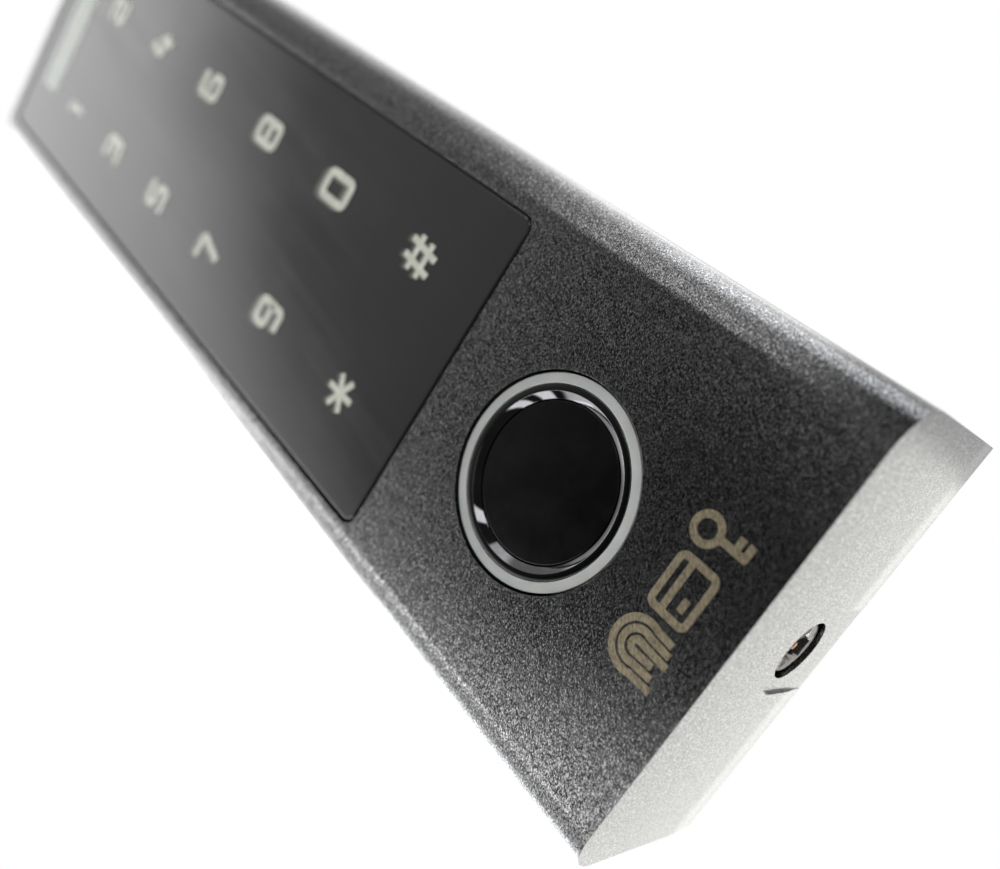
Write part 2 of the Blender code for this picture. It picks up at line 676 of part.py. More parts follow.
def wall_slot(z):
    end = SLOT_LENGTH / 2 - SLOT_HALF
    outline = arc((0, z + end), SLOT_HALF, 0, 180, 10) + arc((0, z - end), SLOT_HALF, 180, 360, 10)
    return prism(outline, "y", -PLATE_THICK - OPEN, OPEN)


def build_wall_plate(looks):
    wall = pivot("wall_origin", (0, 0, 0))
    sheet = rounded_slab(PLATE_HALF, PLATE_LOW, PLATE_HIGH, 2.0, (-PLATE_THICK, 0.0), 5)
    plate = place("wall_plate", sheet, looks["zinc_steel"], wall, (0, 0, 0))
    join(plate, merged([tongue(-TONGUE_X), tongue(TONGUE_X)]), "tongues_add")
    tab = block((-TAB_HALF, TAB_HALF), (TAB_FRONT, -0.5), (TAB_LOW, TAB_LOW + PLATE_THICK))
    join(plate, tab, "screw_tab_add")
    half, low, high = CABLE_WINDOW
    openings = [rounded_slab(half, low, high, 3.0, (-PLATE_THICK - OPEN, OPEN), 5),
                rounded_slab(TAB_HALF + 0.3, *LANCED_WINDOW, 0.8, (-PLATE_THICK - OPEN, OPEN)),
                round_bar(TAB_HOLE_RADIUS, "z", (0, SCREW_Y, 0), TAB_LOW - OPEN,
                          TAB_LOW + PLATE_THICK + OPEN, 24)]
    middle = LENGTH / 2
    openings += [wall_slot(middle - SLOT_SPACING / 2), wall_slot(middle + SLOT_SPACING / 2)]
    cut(plate, merged(openings), "plate_openings_cut")


def build_security_screw(terminal, looks):
    slider = pivot("screw_travel_pivot", (0, SCREW_Y, HEAD_LOW), terminal)
    turner = pivot("screw_turn_pivot", (0, SCREW_Y, HEAD_LOW), slider)
    centre = (0, SCREW_Y, 0)
    profile = [(0, HEAD_LOW), (HEAD_RADIUS - 0.3, HEAD_LOW), (HEAD_RADIUS, HEAD_LOW + 0.3),
               (HEAD_RADIUS, HEAD_HIGH), (NECK_RADIUS, HEAD_HIGH), (NECK_RADIUS, THREAD_LOW),
               (THREAD_RADIUS, THREAD_LOW), (THREAD_RADIUS, TIP - 0.5), (THREAD_RADIUS - 0.5, TIP),
               (0, TIP)]
    screw = place("security_screw", turned(profile, "z", centre, 32), looks["dark_steel"], turner,
                  (0, SCREW_Y, HEAD_LOW))
    socket = round_bar(SOCKET_RADIUS, "z", centre, HEAD_LOW - OPEN, HEAD_LOW + SOCKET_DEPTH, 6)
    cut(screw, socket, "screw_socket_cut")
    ring = washer(NECK_RADIUS + GAP, WASHER_RADIUS, "z", centre, HEAD_HIGH + GAP, HEAD_HIGH + 0.9)
    place("screw_washer", ring, looks["white_plastic"], slider, (0, SCREW_Y, HEAD_HIGH))
    keeper = washer(NECK_RADIUS + GAP, KEEPER_RADIUS, "z", centre, BOSS_TOP + 0.2, THREAD_LOW - GAP)
    place("screw_keeper_ring", keeper, looks["steel"], terminal, (0, SCREW_Y, BOSS_TOP))


# ---------------------------------------------------------------------- looks


def make_looks():
    return {
        "housing": material("housing", (0.055, 0.057, 0.062), 0.45, 0.7),
        "panel": material("panel", (0.02, 0.021, 0.022), 0.08, 0.0),
        "adhesive": material("adhesive", (0.03, 0.03, 0.03), 0.8, 0.0),
        "diffuser": material("diffuser", (0.72, 0.72, 0.66), 0.5, 0.0),
        "lamp": material("lamp", (0.85, 0.8, 0.55), 0.4, 0.0),
        "circuit_board": material("circuit_board", (0.02, 0.12, 0.06), 0.45, 0.0),
        "copper": material("copper", (0.72, 0.38, 0.2), 0.35, 1.0),
        "light_ring": material("light_ring", (0.62, 0.64, 0.64), 0.35, 0.0),
        "bezel": material("bezel", (0.22, 0.22, 0.24), 0.06, 1.0),
        "sensor_face": material("sensor_face", (0.012, 0.012, 0.013), 0.35, 0.0),
        "seal": material("seal", (0.025, 0.025, 0.025), 0.7, 0.0),
        "black_plastic": material("black_plastic", (0.03, 0.03, 0.032), 0.5, 0.0),
        "white_plastic": material("white_plastic", (0.8, 0.79, 0.74), 0.4, 0.0),
        "ribbon": material("ribbon", (0.55, 0.32, 0.08), 0.35, 0.0),
        "chip": material("chip", (0.04, 0.04, 0.042), 0.4, 0.0),
        "relay": material("relay", (0.03, 0.09, 0.3), 0.4, 0.0),
        "aluminium": material("aluminium", (0.75, 0.76, 0.78), 0.3, 1.0),
        "cable": material("cable", (0.05, 0.05, 0.052), 0.55, 0.0),
        "steel": material("steel", (0.6, 0.6, 0.6), 0.3, 1.0),
        "dark_steel": material("dark_steel", (0.3, 0.29, 0.28), 0.25, 1.0),
        "zinc_steel": material("zinc_steel", (0.55, 0.56, 0.57), 0.38, 1.0),
    }


def build_terminal():
    looks = make_looks()
    build_wall_plate(looks)
    terminal = pivot("terminal_hinge", HINGE)
    build_housing(terminal, looks)
    build_panel(terminal, looks)
    build_light_guides(terminal, looks)
    build_touch_board(terminal, looks)
    build_sensor_front(terminal, looks)
    build_sensor_body(terminal, looks)
    build_main_board(terminal, looks)
    build_tamper_body(terminal, looks)
    build_tamper_spring(terminal, looks)
    build_plunger(terminal, looks)
    build_rear_cover(terminal, looks)
    build_cover_screws(terminal, looks)
    build_cable(terminal, looks)
    build_security_screw(terminal, looks)


clear_scene()
build_terminal()
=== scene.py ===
"""Looks of a wall-mounted fingerprint and keypad terminal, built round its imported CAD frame.

Meshes are built in millimetres, in the CAD's own frame (x across, y into the wall, z up, origin in
the middle of the bottom end face), and become metres when they are placed. Places and main sizes
come from the CAD nodes' boxes; the constants below are the details that the CAD leaves out.
"""
import json
import math

import bmesh
import bpy
from mathutils import Matrix, Vector


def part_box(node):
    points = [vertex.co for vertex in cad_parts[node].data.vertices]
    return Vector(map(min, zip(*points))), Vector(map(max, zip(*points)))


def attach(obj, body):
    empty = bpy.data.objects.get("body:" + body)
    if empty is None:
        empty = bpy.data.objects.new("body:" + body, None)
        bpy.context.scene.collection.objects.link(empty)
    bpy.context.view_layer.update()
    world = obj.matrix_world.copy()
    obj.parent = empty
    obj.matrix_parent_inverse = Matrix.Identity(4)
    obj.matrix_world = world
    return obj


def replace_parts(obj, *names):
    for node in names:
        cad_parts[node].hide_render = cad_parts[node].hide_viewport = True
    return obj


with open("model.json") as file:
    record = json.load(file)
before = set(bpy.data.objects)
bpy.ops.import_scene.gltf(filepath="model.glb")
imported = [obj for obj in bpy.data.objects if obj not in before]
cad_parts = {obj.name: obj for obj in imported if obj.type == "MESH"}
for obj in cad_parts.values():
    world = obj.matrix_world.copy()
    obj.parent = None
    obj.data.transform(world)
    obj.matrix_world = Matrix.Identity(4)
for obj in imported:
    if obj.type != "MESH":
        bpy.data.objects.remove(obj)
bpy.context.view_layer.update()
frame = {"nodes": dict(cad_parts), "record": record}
NODES = frame["nodes"]

MM = 0.001

# Key legends: left column then right column, each from the bottom up, as the key lamps are numbered
LEGENDS = "*97531#08642"
DIGIT_STROKE = 1.02
SIGN_STROKE = 0.78
DIGIT_HALF = (1.5, 2.35)
CORNER_SOFTNESS = 0.75
PRINT_LIFT = 0.055
LAYER_STEP = 0.002
# How deep any print is rooted in the surface under it
PRINT_ROOT = 0.05
# Painted halo of light beside the print: its fading pale layers, and how far aside and up the last of them
# lies
HALO_LAYERS = 10
HALO_DRIFT = Vector((-0.6, 1.4))
HALO_GLOW = 0.45
HALO_FADING = 1.2
HALO_LEAST = 0.02
# The painted halo of * and # is smaller and fainter than that of the digits by this factor
SIGN_HALO = 0.6

# Crown of the end face: distances in from its rear edge, and how far the face has curled up there
END_CROWN = ((5.0, 0.0), (3.2, 0.05), (1.6, 0.2), (0.0, 0.25))

# Pictograms below the reader
MARK_PLACES = (-4.9, 1.5, 6.9)
MARK_DROP = 0.4
MARK_STROKE = 0.72
MARK_LIFT = 0.07
MARK_HALF_HEIGHT = 2.9
RIDGE_RADII = (0.55, 1.5, 2.45)

# Fingerprint reader
READER_STEPS = 128
RING_WIDTH = 1.05
RIM_WIDTH = 0.67
RIM_OVERLAP = 0.12
BORE_GAP = 0.1
CHAMFER_TILT = math.radians(38)
LIP_RADIUS = 0.08
FACE_LIP_RADIUS = 0.15

# Security screw
HEAD_PLAY = 0.2
NECK_RADIUS = 1.3
NECK_GAP = 0.3
THREAD_RADIUS = 1.9
THREAD_PITCH = 0.7
THREAD_DEPTH = 0.42
LOBE_REACH = 1.83
LOBE_DIP = 0.33
SOCKET_DEPTH = 1.6
PIN_RADIUS = 0.42
PIN_SINK = 0.25

# Cable plug
PLUG_WAYS = 6
PLUG_SHOULDER = 1.6
PLUG_SHOULDER_INSET = 1.4
PLUG_SIDE_WALL = 1.0
PLUG_WINDOW_RISE = (0.9, 2.9)
PLUG_WINDOW_DEPTH = 0.5
PLUG_RIDGE_HEIGHT = 0.4
PLUG_RIDGE_INSET = 2.0
PLUG_RIDGE_DROP = (1.6, 0.7)

# Camera at the photograph's place: where it stands, where it looks, and how far it is rolled
EYE = Vector((23.25, -84.03, -22.29))
AIM = Vector((0.49, -12.4, 31.33))
ROLL = math.radians(46.76)
LENS = 33.46
F_STOP = 16.0
FOCUS = Vector((0.0, -12.4, 19.0))

# Surroundings: where the dark viewer and a smudge of shade stand, seen from the terminal, between
# which cosines with that direction each sets in, and how brightly the parts of the room glow
VIEWER_SIDE = (0.1, -0.87, 0.48)
VIEWER_EDGE = (0.88, 0.795)
SMUDGE_SIDE = (-0.09, -0.49, 0.865)
SMUDGE_EDGE = (0.9965, 0.9995)
SMUDGE_SHADE = 0.4
WALL_GLOW = 2.1
CORNER_GLOW = 2.6
STRIP_GLOW = 1.7
PANE_GLOW = 3.5
CEILING_GLOW = 0.5
SHEEN_GLOW = 0.4
ROOM_GLOW = 1.0
DARK_GLOW = 0.04

# Floor
FLOOR_GAP = 0.3
FLOOR_REACH = 900


def node_box(name):
    """Lowest and highest corner of a CAD node, in millimetres."""
    low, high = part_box(name)
    return low / MM, high / MM


def middle(name):
    low, high = node_box(name)
    return (low + high) / 2


# ------------------------------------------------------------------ mesh helpers


def arc(centre, radius, first, last, steps):
    """Points of an arc in a plane, with angles in degrees."""
    angles = [math.radians(first + (last - first) * step / steps) for step in range(steps + 1)]
    return [(centre[0] + radius * math.cos(a), centre[1] + radius * math.sin(a)) for a in angles]


def rounded_rectangle(low, high, radius, steps=8):
    a0, b0 = low[0] + radius, low[1] + radius
    a1, b1 = high[0] - radius, high[1] - radius
    return (arc((a1, b1), radius, 0, 90, steps) + arc((a0, b1), radius, 90, 180, steps)
            + arc((a0, b0), radius, 180, 270, steps) + arc((a1, b0), radius, 270, 360, steps))


def softened(points, radius, closed, steps=4):
    """The same path with each corner turned into a small arc of about the given radius."""
    points = [Vector(point) for point in points]
    result = []
    count = len(points)
    for index, corner in enumerate(points):
        if not closed and index in (0, count - 1):
            result.append(corner)
            continue
        before, after = points[index - 1], points[(index + 1) % count]
        reach = min(radius, (before - corner).length / 2.01, (after - corner).length / 2.01)
        start = corner + (before - corner).normalized() * reach
        end = corner + (after - corner).normalized() * reach
        for step in range(steps + 1):
            share = step / steps
            result.append(start * (1 - share) ** 2 + corner * 2 * share * (1 - share) + end * share ** 2)
    return result


def prism(outline, low, high, axis="y"):
    """Closed solid of an outline pushed along an axis; the outline's plane keeps the order x, y, z."""
    spot = "xyz".index(axis)
    bm = bmesh.new()
    corners = []
    for a, b in outline:
        point = [a, b]
        point.insert(spot, low)
        corners.append(bm.verts.new(point))
    face = bm.faces.new(corners)
    grown = bmesh.ops.extrude_face_region(bm, geom=[face])
    moved = [item for item in grown["geom"] if isinstance(item, bmesh.types.BMVert)]
    step = [0.0, 0.0, 0.0]
    step[spot] = high - low
    bmesh.ops.translate(bm, verts=moved, vec=step)
    bmesh.ops.recalc_face_normals(bm, faces=bm.faces)
    return bm


def turned(profile, axis, centre, steps=96):
    """Solid of revolution of (radius, height) points; open ends at radius 0 close it."""
    ring = profile[0][0] > 1e-6
    upright = Vector((0, 0, 1)) if axis == "z" else Vector((0, 1, 0))
    bm = bmesh.new()
    verts = [bm.verts.new(Vector((radius, 0, 0)) + upright * height) for radius, height in profile]
    pairs = list(zip(verts, verts[1:]))
    if ring:
        pairs.append((verts[-1], verts[0]))
    edges = [bm.edges.new(pair) for pair in pairs]
    bmesh.ops.spin(bm, geom=verts + edges, cent=(0, 0, 0), axis=upright, angle=math.tau,
                   steps=steps, use_merge=True)
    bmesh.ops.remove_doubles(bm, verts=bm.verts, dist=1e-4)
    bmesh.ops.translate(bm, verts=bm.verts, vec=centre)
    bmesh.ops.recalc_face_normals(bm, faces=bm.faces)
    return bm


def skin(bm, rings, closed):
    """Joins equal rings of vertices, each to the next; an open run gets a face at each end."""
    spans = list(zip(rings, rings[1:]))
    if closed:
        spans.append((rings[-1], rings[0]))
    for one, two in spans:
        for corner in range(len(one)):
            follow = (corner + 1) % len(one)
            bm.faces.new((one[corner], one[follow], two[follow], two[corner]))
    if not closed:
        bm.faces.new(rings[0])
        bm.faces.new(rings[-1])
    bmesh.ops.recalc_face_normals(bm, faces=bm.faces)


def stroke_sides(points, width, closed):
    """Left and right edge points of a stroke along a path, mitred at its corners."""
    count = len(points)
    sides = []
    for index, point in enumerate(points):
        before = points[index - 1] if closed or index else None
        after = points[(index + 1) % count] if closed or index < count - 1 else None
        spans = ((before, point), (point, after))
        ways = [(b - a).normalized() for a, b in spans if a is not None and b is not None]
        way = sum(ways, Vector((0, 0))).normalized()
        across = Vector((-way.y, way.x))
        stretch = 1 / max(0.4, across.dot(Vector((-ways[0].y, ways[0].x))))
        sides.append((point + across * width / 2 * stretch, point - across * width / 2 * stretch))
    return sides


def ribbon(path, width, front, thickness, closed=False):
    """Flat stroke along a path of (x, z) points in the front plane."""
    back = front + thickness
    bm = bmesh.new()
    rings = []
    for left, right in stroke_sides([Vector(point) for point in path], width, closed):
        section = ((left, front), (right, front), (right, back), (left, back))
        rings.append([bm.verts.new((point.x, y, point.y)) for point, y in section])
    skin(bm, rings, closed)
    return bm


def gathered(solids):
    """One mesh that holds several solids."""
    whole = bmesh.new()
    for solid in solids:
        scratch = bpy.data.meshes.new("scratch")
        solid.to_mesh(scratch)
        whole.from_mesh(scratch)
        solid.free()
        bpy.data.meshes.remove(scratch)
    return whole


def cad_copy(node):
    """A CAD node's mesh in millimetres, with split corners joined and each half's flat areas made one
    face. The seam along x = 0 keeps faces with holes in them from closing over."""
    bm = bmesh.new()
    bm.from_mesh(NODES[node].data)
    bmesh.ops.scale(bm, verts=bm.verts, vec=(1 / MM,) * 3)
    bmesh.ops.remove_doubles(bm, verts=bm.verts, dist=0.002)
    everything = list(bm.verts) + list(bm.edges) + list(bm.faces)
    bmesh.ops.bisect_plane(bm, geom=everything, dist=1e-4, plane_co=(0, 0, 0), plane_no=(1, 0, 0))
    aside = [vert for vert in bm.verts if abs(vert.co.x) > 1e-3]
    joints = [edge for edge in bm.edges if max(abs(vert.co.x) for vert in edge.verts) > 1e-3]
    bmesh.ops.dissolve_limit(bm, angle_limit=math.radians(0.5), verts=aside, edges=joints)
    return bm


# ---------------------------------------------------------------- object helpers


def place(name, bm, look, body, bevel=0.0, segments=3, sharp=35):
    """Turns a mesh in millimetres into a piece that rides on a CAD body."""
    bmesh.ops.scale(bm, verts=bm.verts, vec=(MM,) * 3)
    mesh = bpy.data.meshes.new(name)
    bm.to_mesh(mesh)
    bm.free()
    mesh.materials.append(look)
    mesh.shade_smooth()
    mesh.set_sharp_from_angle(angle=math.radians(sharp))
    piece = bpy.data.objects.new(name, mesh)
    bpy.context.scene.collection.objects.link(piece)
    if bevel:
        edge = piece.modifiers.new("edge", "BEVEL")
        edge.width = bevel * MM
        edge.segments = segments
        edge.limit_method = "ANGLE"
        edge.angle_limit = math.radians(32)
        edge.use_clamp_overlap = True
    flat = piece.modifiers.new("flat_faces", "WEIGHTED_NORMAL")
    flat.keep_sharp = True
    flat.weight = 100
    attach(piece, body)
    return piece


def cut(piece, bm):
    """Cuts a solid, given in millimetres, out of a piece for good."""
    bmesh.ops.scale(bm, verts=bm.verts, vec=(MM,) * 3)
    mesh = bpy.data.meshes.new("cutter")
    bm.to_mesh(mesh)
    bm.free()
    cutter = bpy.data.objects.new("cutter", mesh)
    bpy.context.scene.collection.objects.link(cutter)
    change = piece.modifiers.new("cut", "BOOLEAN")
    change.solver = "EXACT"
    change.object = cutter
    bpy.context.view_layer.update()
    shaped = piece.evaluated_get(bpy.context.evaluated_depsgraph_get())
    result = bpy.data.meshes.new_from_object(shaped)
    piece.modifiers.remove(change)
    piece.data = result
    bpy.data.objects.remove(cutter)


# -------------------------------------------------------------------- materials


class Graph:
    """A node tree, with short ways to add and join its nodes."""

    def __init__(self, tree):
        self.tree = tree

    def add(self, kind, **settings):
        node = self.tree.nodes.new(kind)
        for key, value in settings.items():
            setattr(node, key, value)
        return node

    def link(self, output, target):
        self.tree.links.new(output, target)

    def feed(self, target, value):
        """Gives an input a number, a colour or another node's output."""
        if isinstance(value, bpy.types.NodeSocket):
            self.link(value, target)
        elif target.type == "RGBA":
            target.default_value = (*value, 1.0)
        else:
            target.default_value = value

    def maths(self, operation, one, two=0.0):
        node = self.add("ShaderNodeMath", operation=operation)
        self.feed(node.inputs[0], one)
        self.feed(node.inputs[1], two)
        return node.outputs[0]

    def spread(self, value, low, high, to_low=0.0, to_high=1.0, curve="LINEAR"):
        """Maps a value's range to another range."""
        node = self.add("ShaderNodeMapRange", interpolation_type=curve)
        self.link(value, node.inputs["Value"])
        for name, number in (("From Min", low), ("From Max", high), ("To Min", to_low), ("To Max", to_high)):
            node.inputs[name].default_value = number
        return node.outputs["Result"]


class Look(Graph):
    """A procedural material: a Principled shader and the node chains that feed it."""

    def __init__(self, name, colour, roughness, metallic=0.0):
        self.material = bpy.data.materials.new(name)
        self.material.use_nodes = True
        super().__init__(self.material.node_tree)
        self.shader = self.tree.nodes["Principled BSDF"]
        self.set("Base Color", colour)
        self.set("Roughness", roughness)
        self.set("Metallic", metallic)
        scale = self.add("ShaderNodeVectorMath", operation="MULTIPLY")
        self.link(self.add("ShaderNodeTexCoord").outputs["Object"], scale.inputs[0])
        scale.inputs[1].default_value = (1 / MM,) * 3
        self.where = scale.outputs[0]
        self.last_normal = None

    def set(self, name, value):
        """Sets a shader input, from a number, a colour or another node's output."""
        self.feed(self.shader.inputs[name], value)

    def stretched(self, factors, turn=(0.0, 0.0, 0.0)):
        """The place in millimetres, turned and then squeezed along some axes, for directed grain."""
        node = self.add("ShaderNodeMapping", vector_type="TEXTURE")
        self.link(self.where, node.inputs["Vector"])
        node.inputs["Rotation"].default_value = turn
        node.inputs["Scale"].default_value = [1 / factor for factor in factors]
        return node.outputs[0]

    def attribute(self, name):
        """A number stored on the mesh's corners or points."""
        return self.add("ShaderNodeAttribute", attribute_name=name).outputs["Fac"]

    def frontness(self):
        """How far the surface faces along the body's y axis: 1 on the front, 0 on a side."""
        normal = self.add("ShaderNodeTexCoord").outputs["Normal"]
        split = self.add("ShaderNodeSeparateXYZ")
        self.link(normal, split.inputs[0])
        return self.maths("ABSOLUTE", split.outputs["Y"], 0.0)

    def noise(self, size, detail=2.0, rough=0.5, where=None):
        """Cloudy pattern whose blobs are about size millimetres wide."""
        node = self.add("ShaderNodeTexNoise")
        self.link(where or self.where, node.inputs["Vector"])
        node.inputs["Scale"].default_value = 1 / size
        node.inputs["Detail"].default_value = detail
        node.inputs["Roughness"].default_value = rough
        return node.outputs["Fac"]

    def cells(self, size, output="Distance", feature="F1", where=None):
        node = self.add("ShaderNodeTexVoronoi", feature=feature)
        self.link(where or self.where, node.inputs["Vector"])
        node.inputs["Scale"].default_value = 1 / size
        return node.outputs[output]

    def mix(self, share, one, two):
        """Blend of two colours, each a colour or another node's output."""
        node = self.add("ShaderNodeMix", data_type="RGBA")
        for spot, value in ((0, share), (6, one), (7, two)):
            self.feed(node.inputs[spot], value)
        return node.outputs[2]

    def part_of(self, vector, axis):
        node = self.add("ShaderNodeSeparateXYZ")
        self.link(vector, node.inputs[0])
        return node.outputs["XYZ".index(axis)]

    def bump(self, height, depth, strength=1.0):
        """Relief that is depth millimetres deep, on top of any earlier relief."""
        node = self.add("ShaderNodeBump")
        node.inputs["Strength"].default_value = strength
        node.inputs["Distance"].default_value = depth * MM
        self.link(height, node.inputs["Height"])
        if self.last_normal:
            self.link(self.last_normal, node.inputs["Normal"])
        self.last_normal = node.outputs["Normal"]
        self.link(self.last_normal, self.shader.inputs["Normal"])


def powder_coat():
    """Near-black textured powder coat, full of metal flake, with a fine drawn-out grain that glints."""
    look = Look("powder_coat", (0.11, 0.11, 0.112), 0.2, 0.96)
    drawn = look.stretched((2.0, 1.5, 1.0), (0.0, math.radians(51), 0.0))
    grain = look.noise(0.17, 2.0, 0.6, drawn)
    fine = look.noise(0.06, 1.0, 0.5)
    cloud = look.noise(7.0, 3.0)
    base = look.mix(look.spread(grain, 0.44, 0.6), (0.004, 0.004, 0.004), (0.21, 0.21, 0.208))
    base = look.mix(look.spread(cloud, 0.3, 0.7, 0.0, 0.25), base, (0.09, 0.09, 0.092))
    flake_tone = look.part_of(look.cells(0.17, "Color", where=drawn), "X")
    flake = look.spread(flake_tone, 0.8, 0.98)
    look.set("Base Color", look.mix(flake, base, (0.3, 0.3, 0.305)))
    look.set("Roughness", look.spread(fine, 0.35, 0.7, 0.24, 0.16))
    look.bump(grain, 0.0045, 1.0)
    look.bump(fine, 0.001, 0.6)
    return look.material


def smoked_panel():
    """Glossy smoked acrylic with faint smears, wiping streaks and a little dust."""
    look = Look("smoked_panel", (0.012, 0.0125, 0.013), 0.06)
    smear = look.noise(15.0, 4.0, 0.6, look.stretched((1.0, 1.0, 0.5)))
    streak = look.noise(1.6, 2.0, 0.5, look.stretched((1.0, 1.0, 0.06), (0.0, math.radians(8), 0.0)))
    speck = look.noise(0.16, 1.0)
    dust = look.spread(look.noise(0.5, 2.0), 0.72, 0.8, 0.0, 0.12)
    base = look.mix(look.spread(smear, 0.35, 0.72), (0.0095, 0.01, 0.0095), (0.0145, 0.0148, 0.0145))
    base = look.mix(look.spread(speck, 0.3, 0.7, 0.0, 0.35), base, (0.02, 0.021, 0.019))
    look.set("Base Color", look.mix(dust, base, (0.12, 0.12, 0.12)))
    film = look.spread(smear, 0.35, 0.75, 0.06, 0.17)
    look.set("Roughness", look.maths("ADD", film, look.spread(streak, 0.35, 0.7, 0.0, 0.05)))
    look.set("IOR", 1.52)
    look.bump(look.noise(24.0, 1.0), 0.05, 0.3)
    look.bump(streak, 0.0015, 0.5)
    return look.material


def printed_cream():
    """Pale print of the key legends and of their painted halo; where its glow is low it is as dark as the
    smoked panel.
    """
    look = Look("printed_cream", (0.6, 0.61, 0.52), 0.25)
    tone = look.noise(0.9, 3.0)
    bright = look.mix(look.spread(tone, 0.3, 0.7), (0.5, 0.515, 0.44), (0.6, 0.61, 0.53))
    glow = look.attribute("glow")
    colour = look.mix(glow, (0.012, 0.0125, 0.012), bright)
    look.set("Base Color", colour)
    look.set("Emission Color", colour)
    look.set("Emission Strength", 0.08)
    look.set("Roughness", look.maths("ADD", look.spread(tone, 0.3, 0.7, 0.06, 0.14),
                                     look.maths("MULTIPLY", glow, 0.16)))
    look.bump(look.noise(0.12, 2.0), 0.004, 0.5)
    return look.material


def milky(name, colour, glow, cloudiness=2.5):
    """Cloudy light-guide plastic."""
    look = Look(name, colour, 0.35)
    cloud = look.noise(cloudiness, 3.0)
    deep = tuple(part * 0.86 for part in colour)
    look.set("Base Color", look.mix(look.spread(cloud, 0.3, 0.7), deep, colour))
    look.set("Subsurface Weight", 0.25)
    look.set("Subsurface Scale", 0.8 * MM)
    look.set("Emission Color", colour)
    look.set("Emission Strength", glow)
    look.set("Roughness", look.spread(look.noise(0.6, 3.0), 0.3, 0.7, 0.28, 0.42))
    look.bump(look.noise(0.18, 2.0), 0.004, 0.5)
    return look.material


def dark_chrome():
    """Polished dark chrome with turning lines and hairline wear; its flat rim, facing front, is black."""
    look = Look("dark_chrome", (0.14, 0.14, 0.145), 0.05, 1.0)
    wear = look.noise(3.0, 4.0, 0.7)
    chrome = look.mix(look.spread(wear, 0.35, 0.75), (0.13, 0.13, 0.135), (0.2, 0.2, 0.21))
    rim = look.spread(look.frontness(), 0.9, 0.98)
    look.set("Base Color", look.mix(rim, chrome, (0.002, 0.002, 0.002)))
    look.set("Metallic", look.spread(rim, 0.0, 1.0, 1.0, 0.0))
    look.set("Roughness", look.spread(wear, 0.3, 0.8, 0.02, 0.07))
    look.bump(look.noise(0.25, 1.0, 0.5, look.stretched((0.05, 1.0, 0.05))), 0.0015, 0.4)
    return look.material


def sensor_black():
    """Satin black coating of the touch face, with a faint fine texture."""
    look = Look("sensor_black", (0.0015, 0.0015, 0.0016), 0.2)
    print_grease = look.noise(2.6, 4.0, 0.6)
    look.set("Base Color", look.mix(look.spread(print_grease, 0.4, 0.8, 0.0, 0.6), (0.001, 0.001, 0.0011),
                                    (0.0025, 0.0025, 0.0027)))
    look.set("Specular IOR Level", 0.25)
    look.set("Roughness", look.spread(print_grease, 0.3, 0.8, 0.16, 0.24))
    look.bump(look.cells(0.09), 0.001, 0.5)
    return look.material


def brushed_metal(name, dark, light, roughness, along, marks=0.25):
    """Metal with a fine grain along one axis, cloudy tone and small pits."""
    look = Look(name, light, roughness, 1.0)
    squeeze = [1.0, 1.0, 1.0]
    squeeze["XYZ".index(along)] = 0.03
    lines = look.noise(0.12, 3.0, 0.6, look.stretched(squeeze))
    cloud = look.noise(7.0, 4.0, 0.6)
    tone = look.maths("ADD", look.spread(lines, 0.3, 0.7, 0.0, 0.55), look.spread(cloud, 0.3, 0.7, 0.0, 0.45))
    colour = look.mix(tone, dark, light)
    pits = look.spread(look.noise(0.7, 3.0, 0.7), 0.66, 0.74)
    pitted = look.maths("MULTIPLY", pits, marks)
    look.set("Base Color", look.mix(pitted, colour, tuple(c * 0.4 for c in dark)))
    look.set("Roughness", look.spread(lines, 0.25, 0.75, roughness * 0.75, roughness * 1.3))
    look.bump(lines, 0.006, 0.5)
    return look.material


def zinc_plate():
    """Zinc-plated sheet with soft spangle, rolling lines and a faint yellow passivation."""
    look = Look("zinc_plate", (0.3, 0.31, 0.32), 0.36, 1.0)
    spangle = look.part_of(look.cells(4.0, "Color"), "X")
    cloud = look.noise(16.0, 4.0, 0.6)
    lines = look.noise(0.25, 3.0, 0.6, look.stretched((1.0, 1.0, 0.02)))
    base = look.mix(look.spread(cloud, 0.3, 0.7), (0.15, 0.155, 0.16), (0.25, 0.25, 0.245))
    base = look.mix(look.spread(spangle, 0.0, 1.0, 0.0, 0.4), base, (0.4, 0.41, 0.42))
    base = look.mix(look.spread(look.noise(30.0, 2.0), 0.5, 0.75, 0.0, 0.3), base, (0.28, 0.26, 0.17))
    look.set("Base Color", base)
    look.set("Roughness", look.maths("ADD", look.spread(lines, 0.3, 0.7, 0.26, 0.4),
                                     look.spread(spangle, 0.0, 1.0, 0.0, 0.1)))
    look.bump(lines, 0.008, 0.5)
    look.bump(look.noise(0.5, 3.0), 0.006, 0.3)
    return look.material


def moulded(name, colour, roughness, grain=0.35, relief=0.02):
    """Moulded plastic with a spark-eroded texture and slight tone changes."""
    look = Look(name, colour, roughness)
    fine = look.noise(grain, 3.0, 0.6)
    cloud = look.noise(12.0, 3.0)
    pale = tuple(min(1.0, part * 1.35 + 0.004) for part in colour)
    look.set("Base Color", look.mix(look.spread(cloud, 0.3, 0.7), colour, pale))
    look.set("Roughness", look.spread(fine, 0.3, 0.7, roughness * 0.85, min(1.0, roughness * 1.2)))
    look.bump(fine, relief, 0.5)
    return look.material


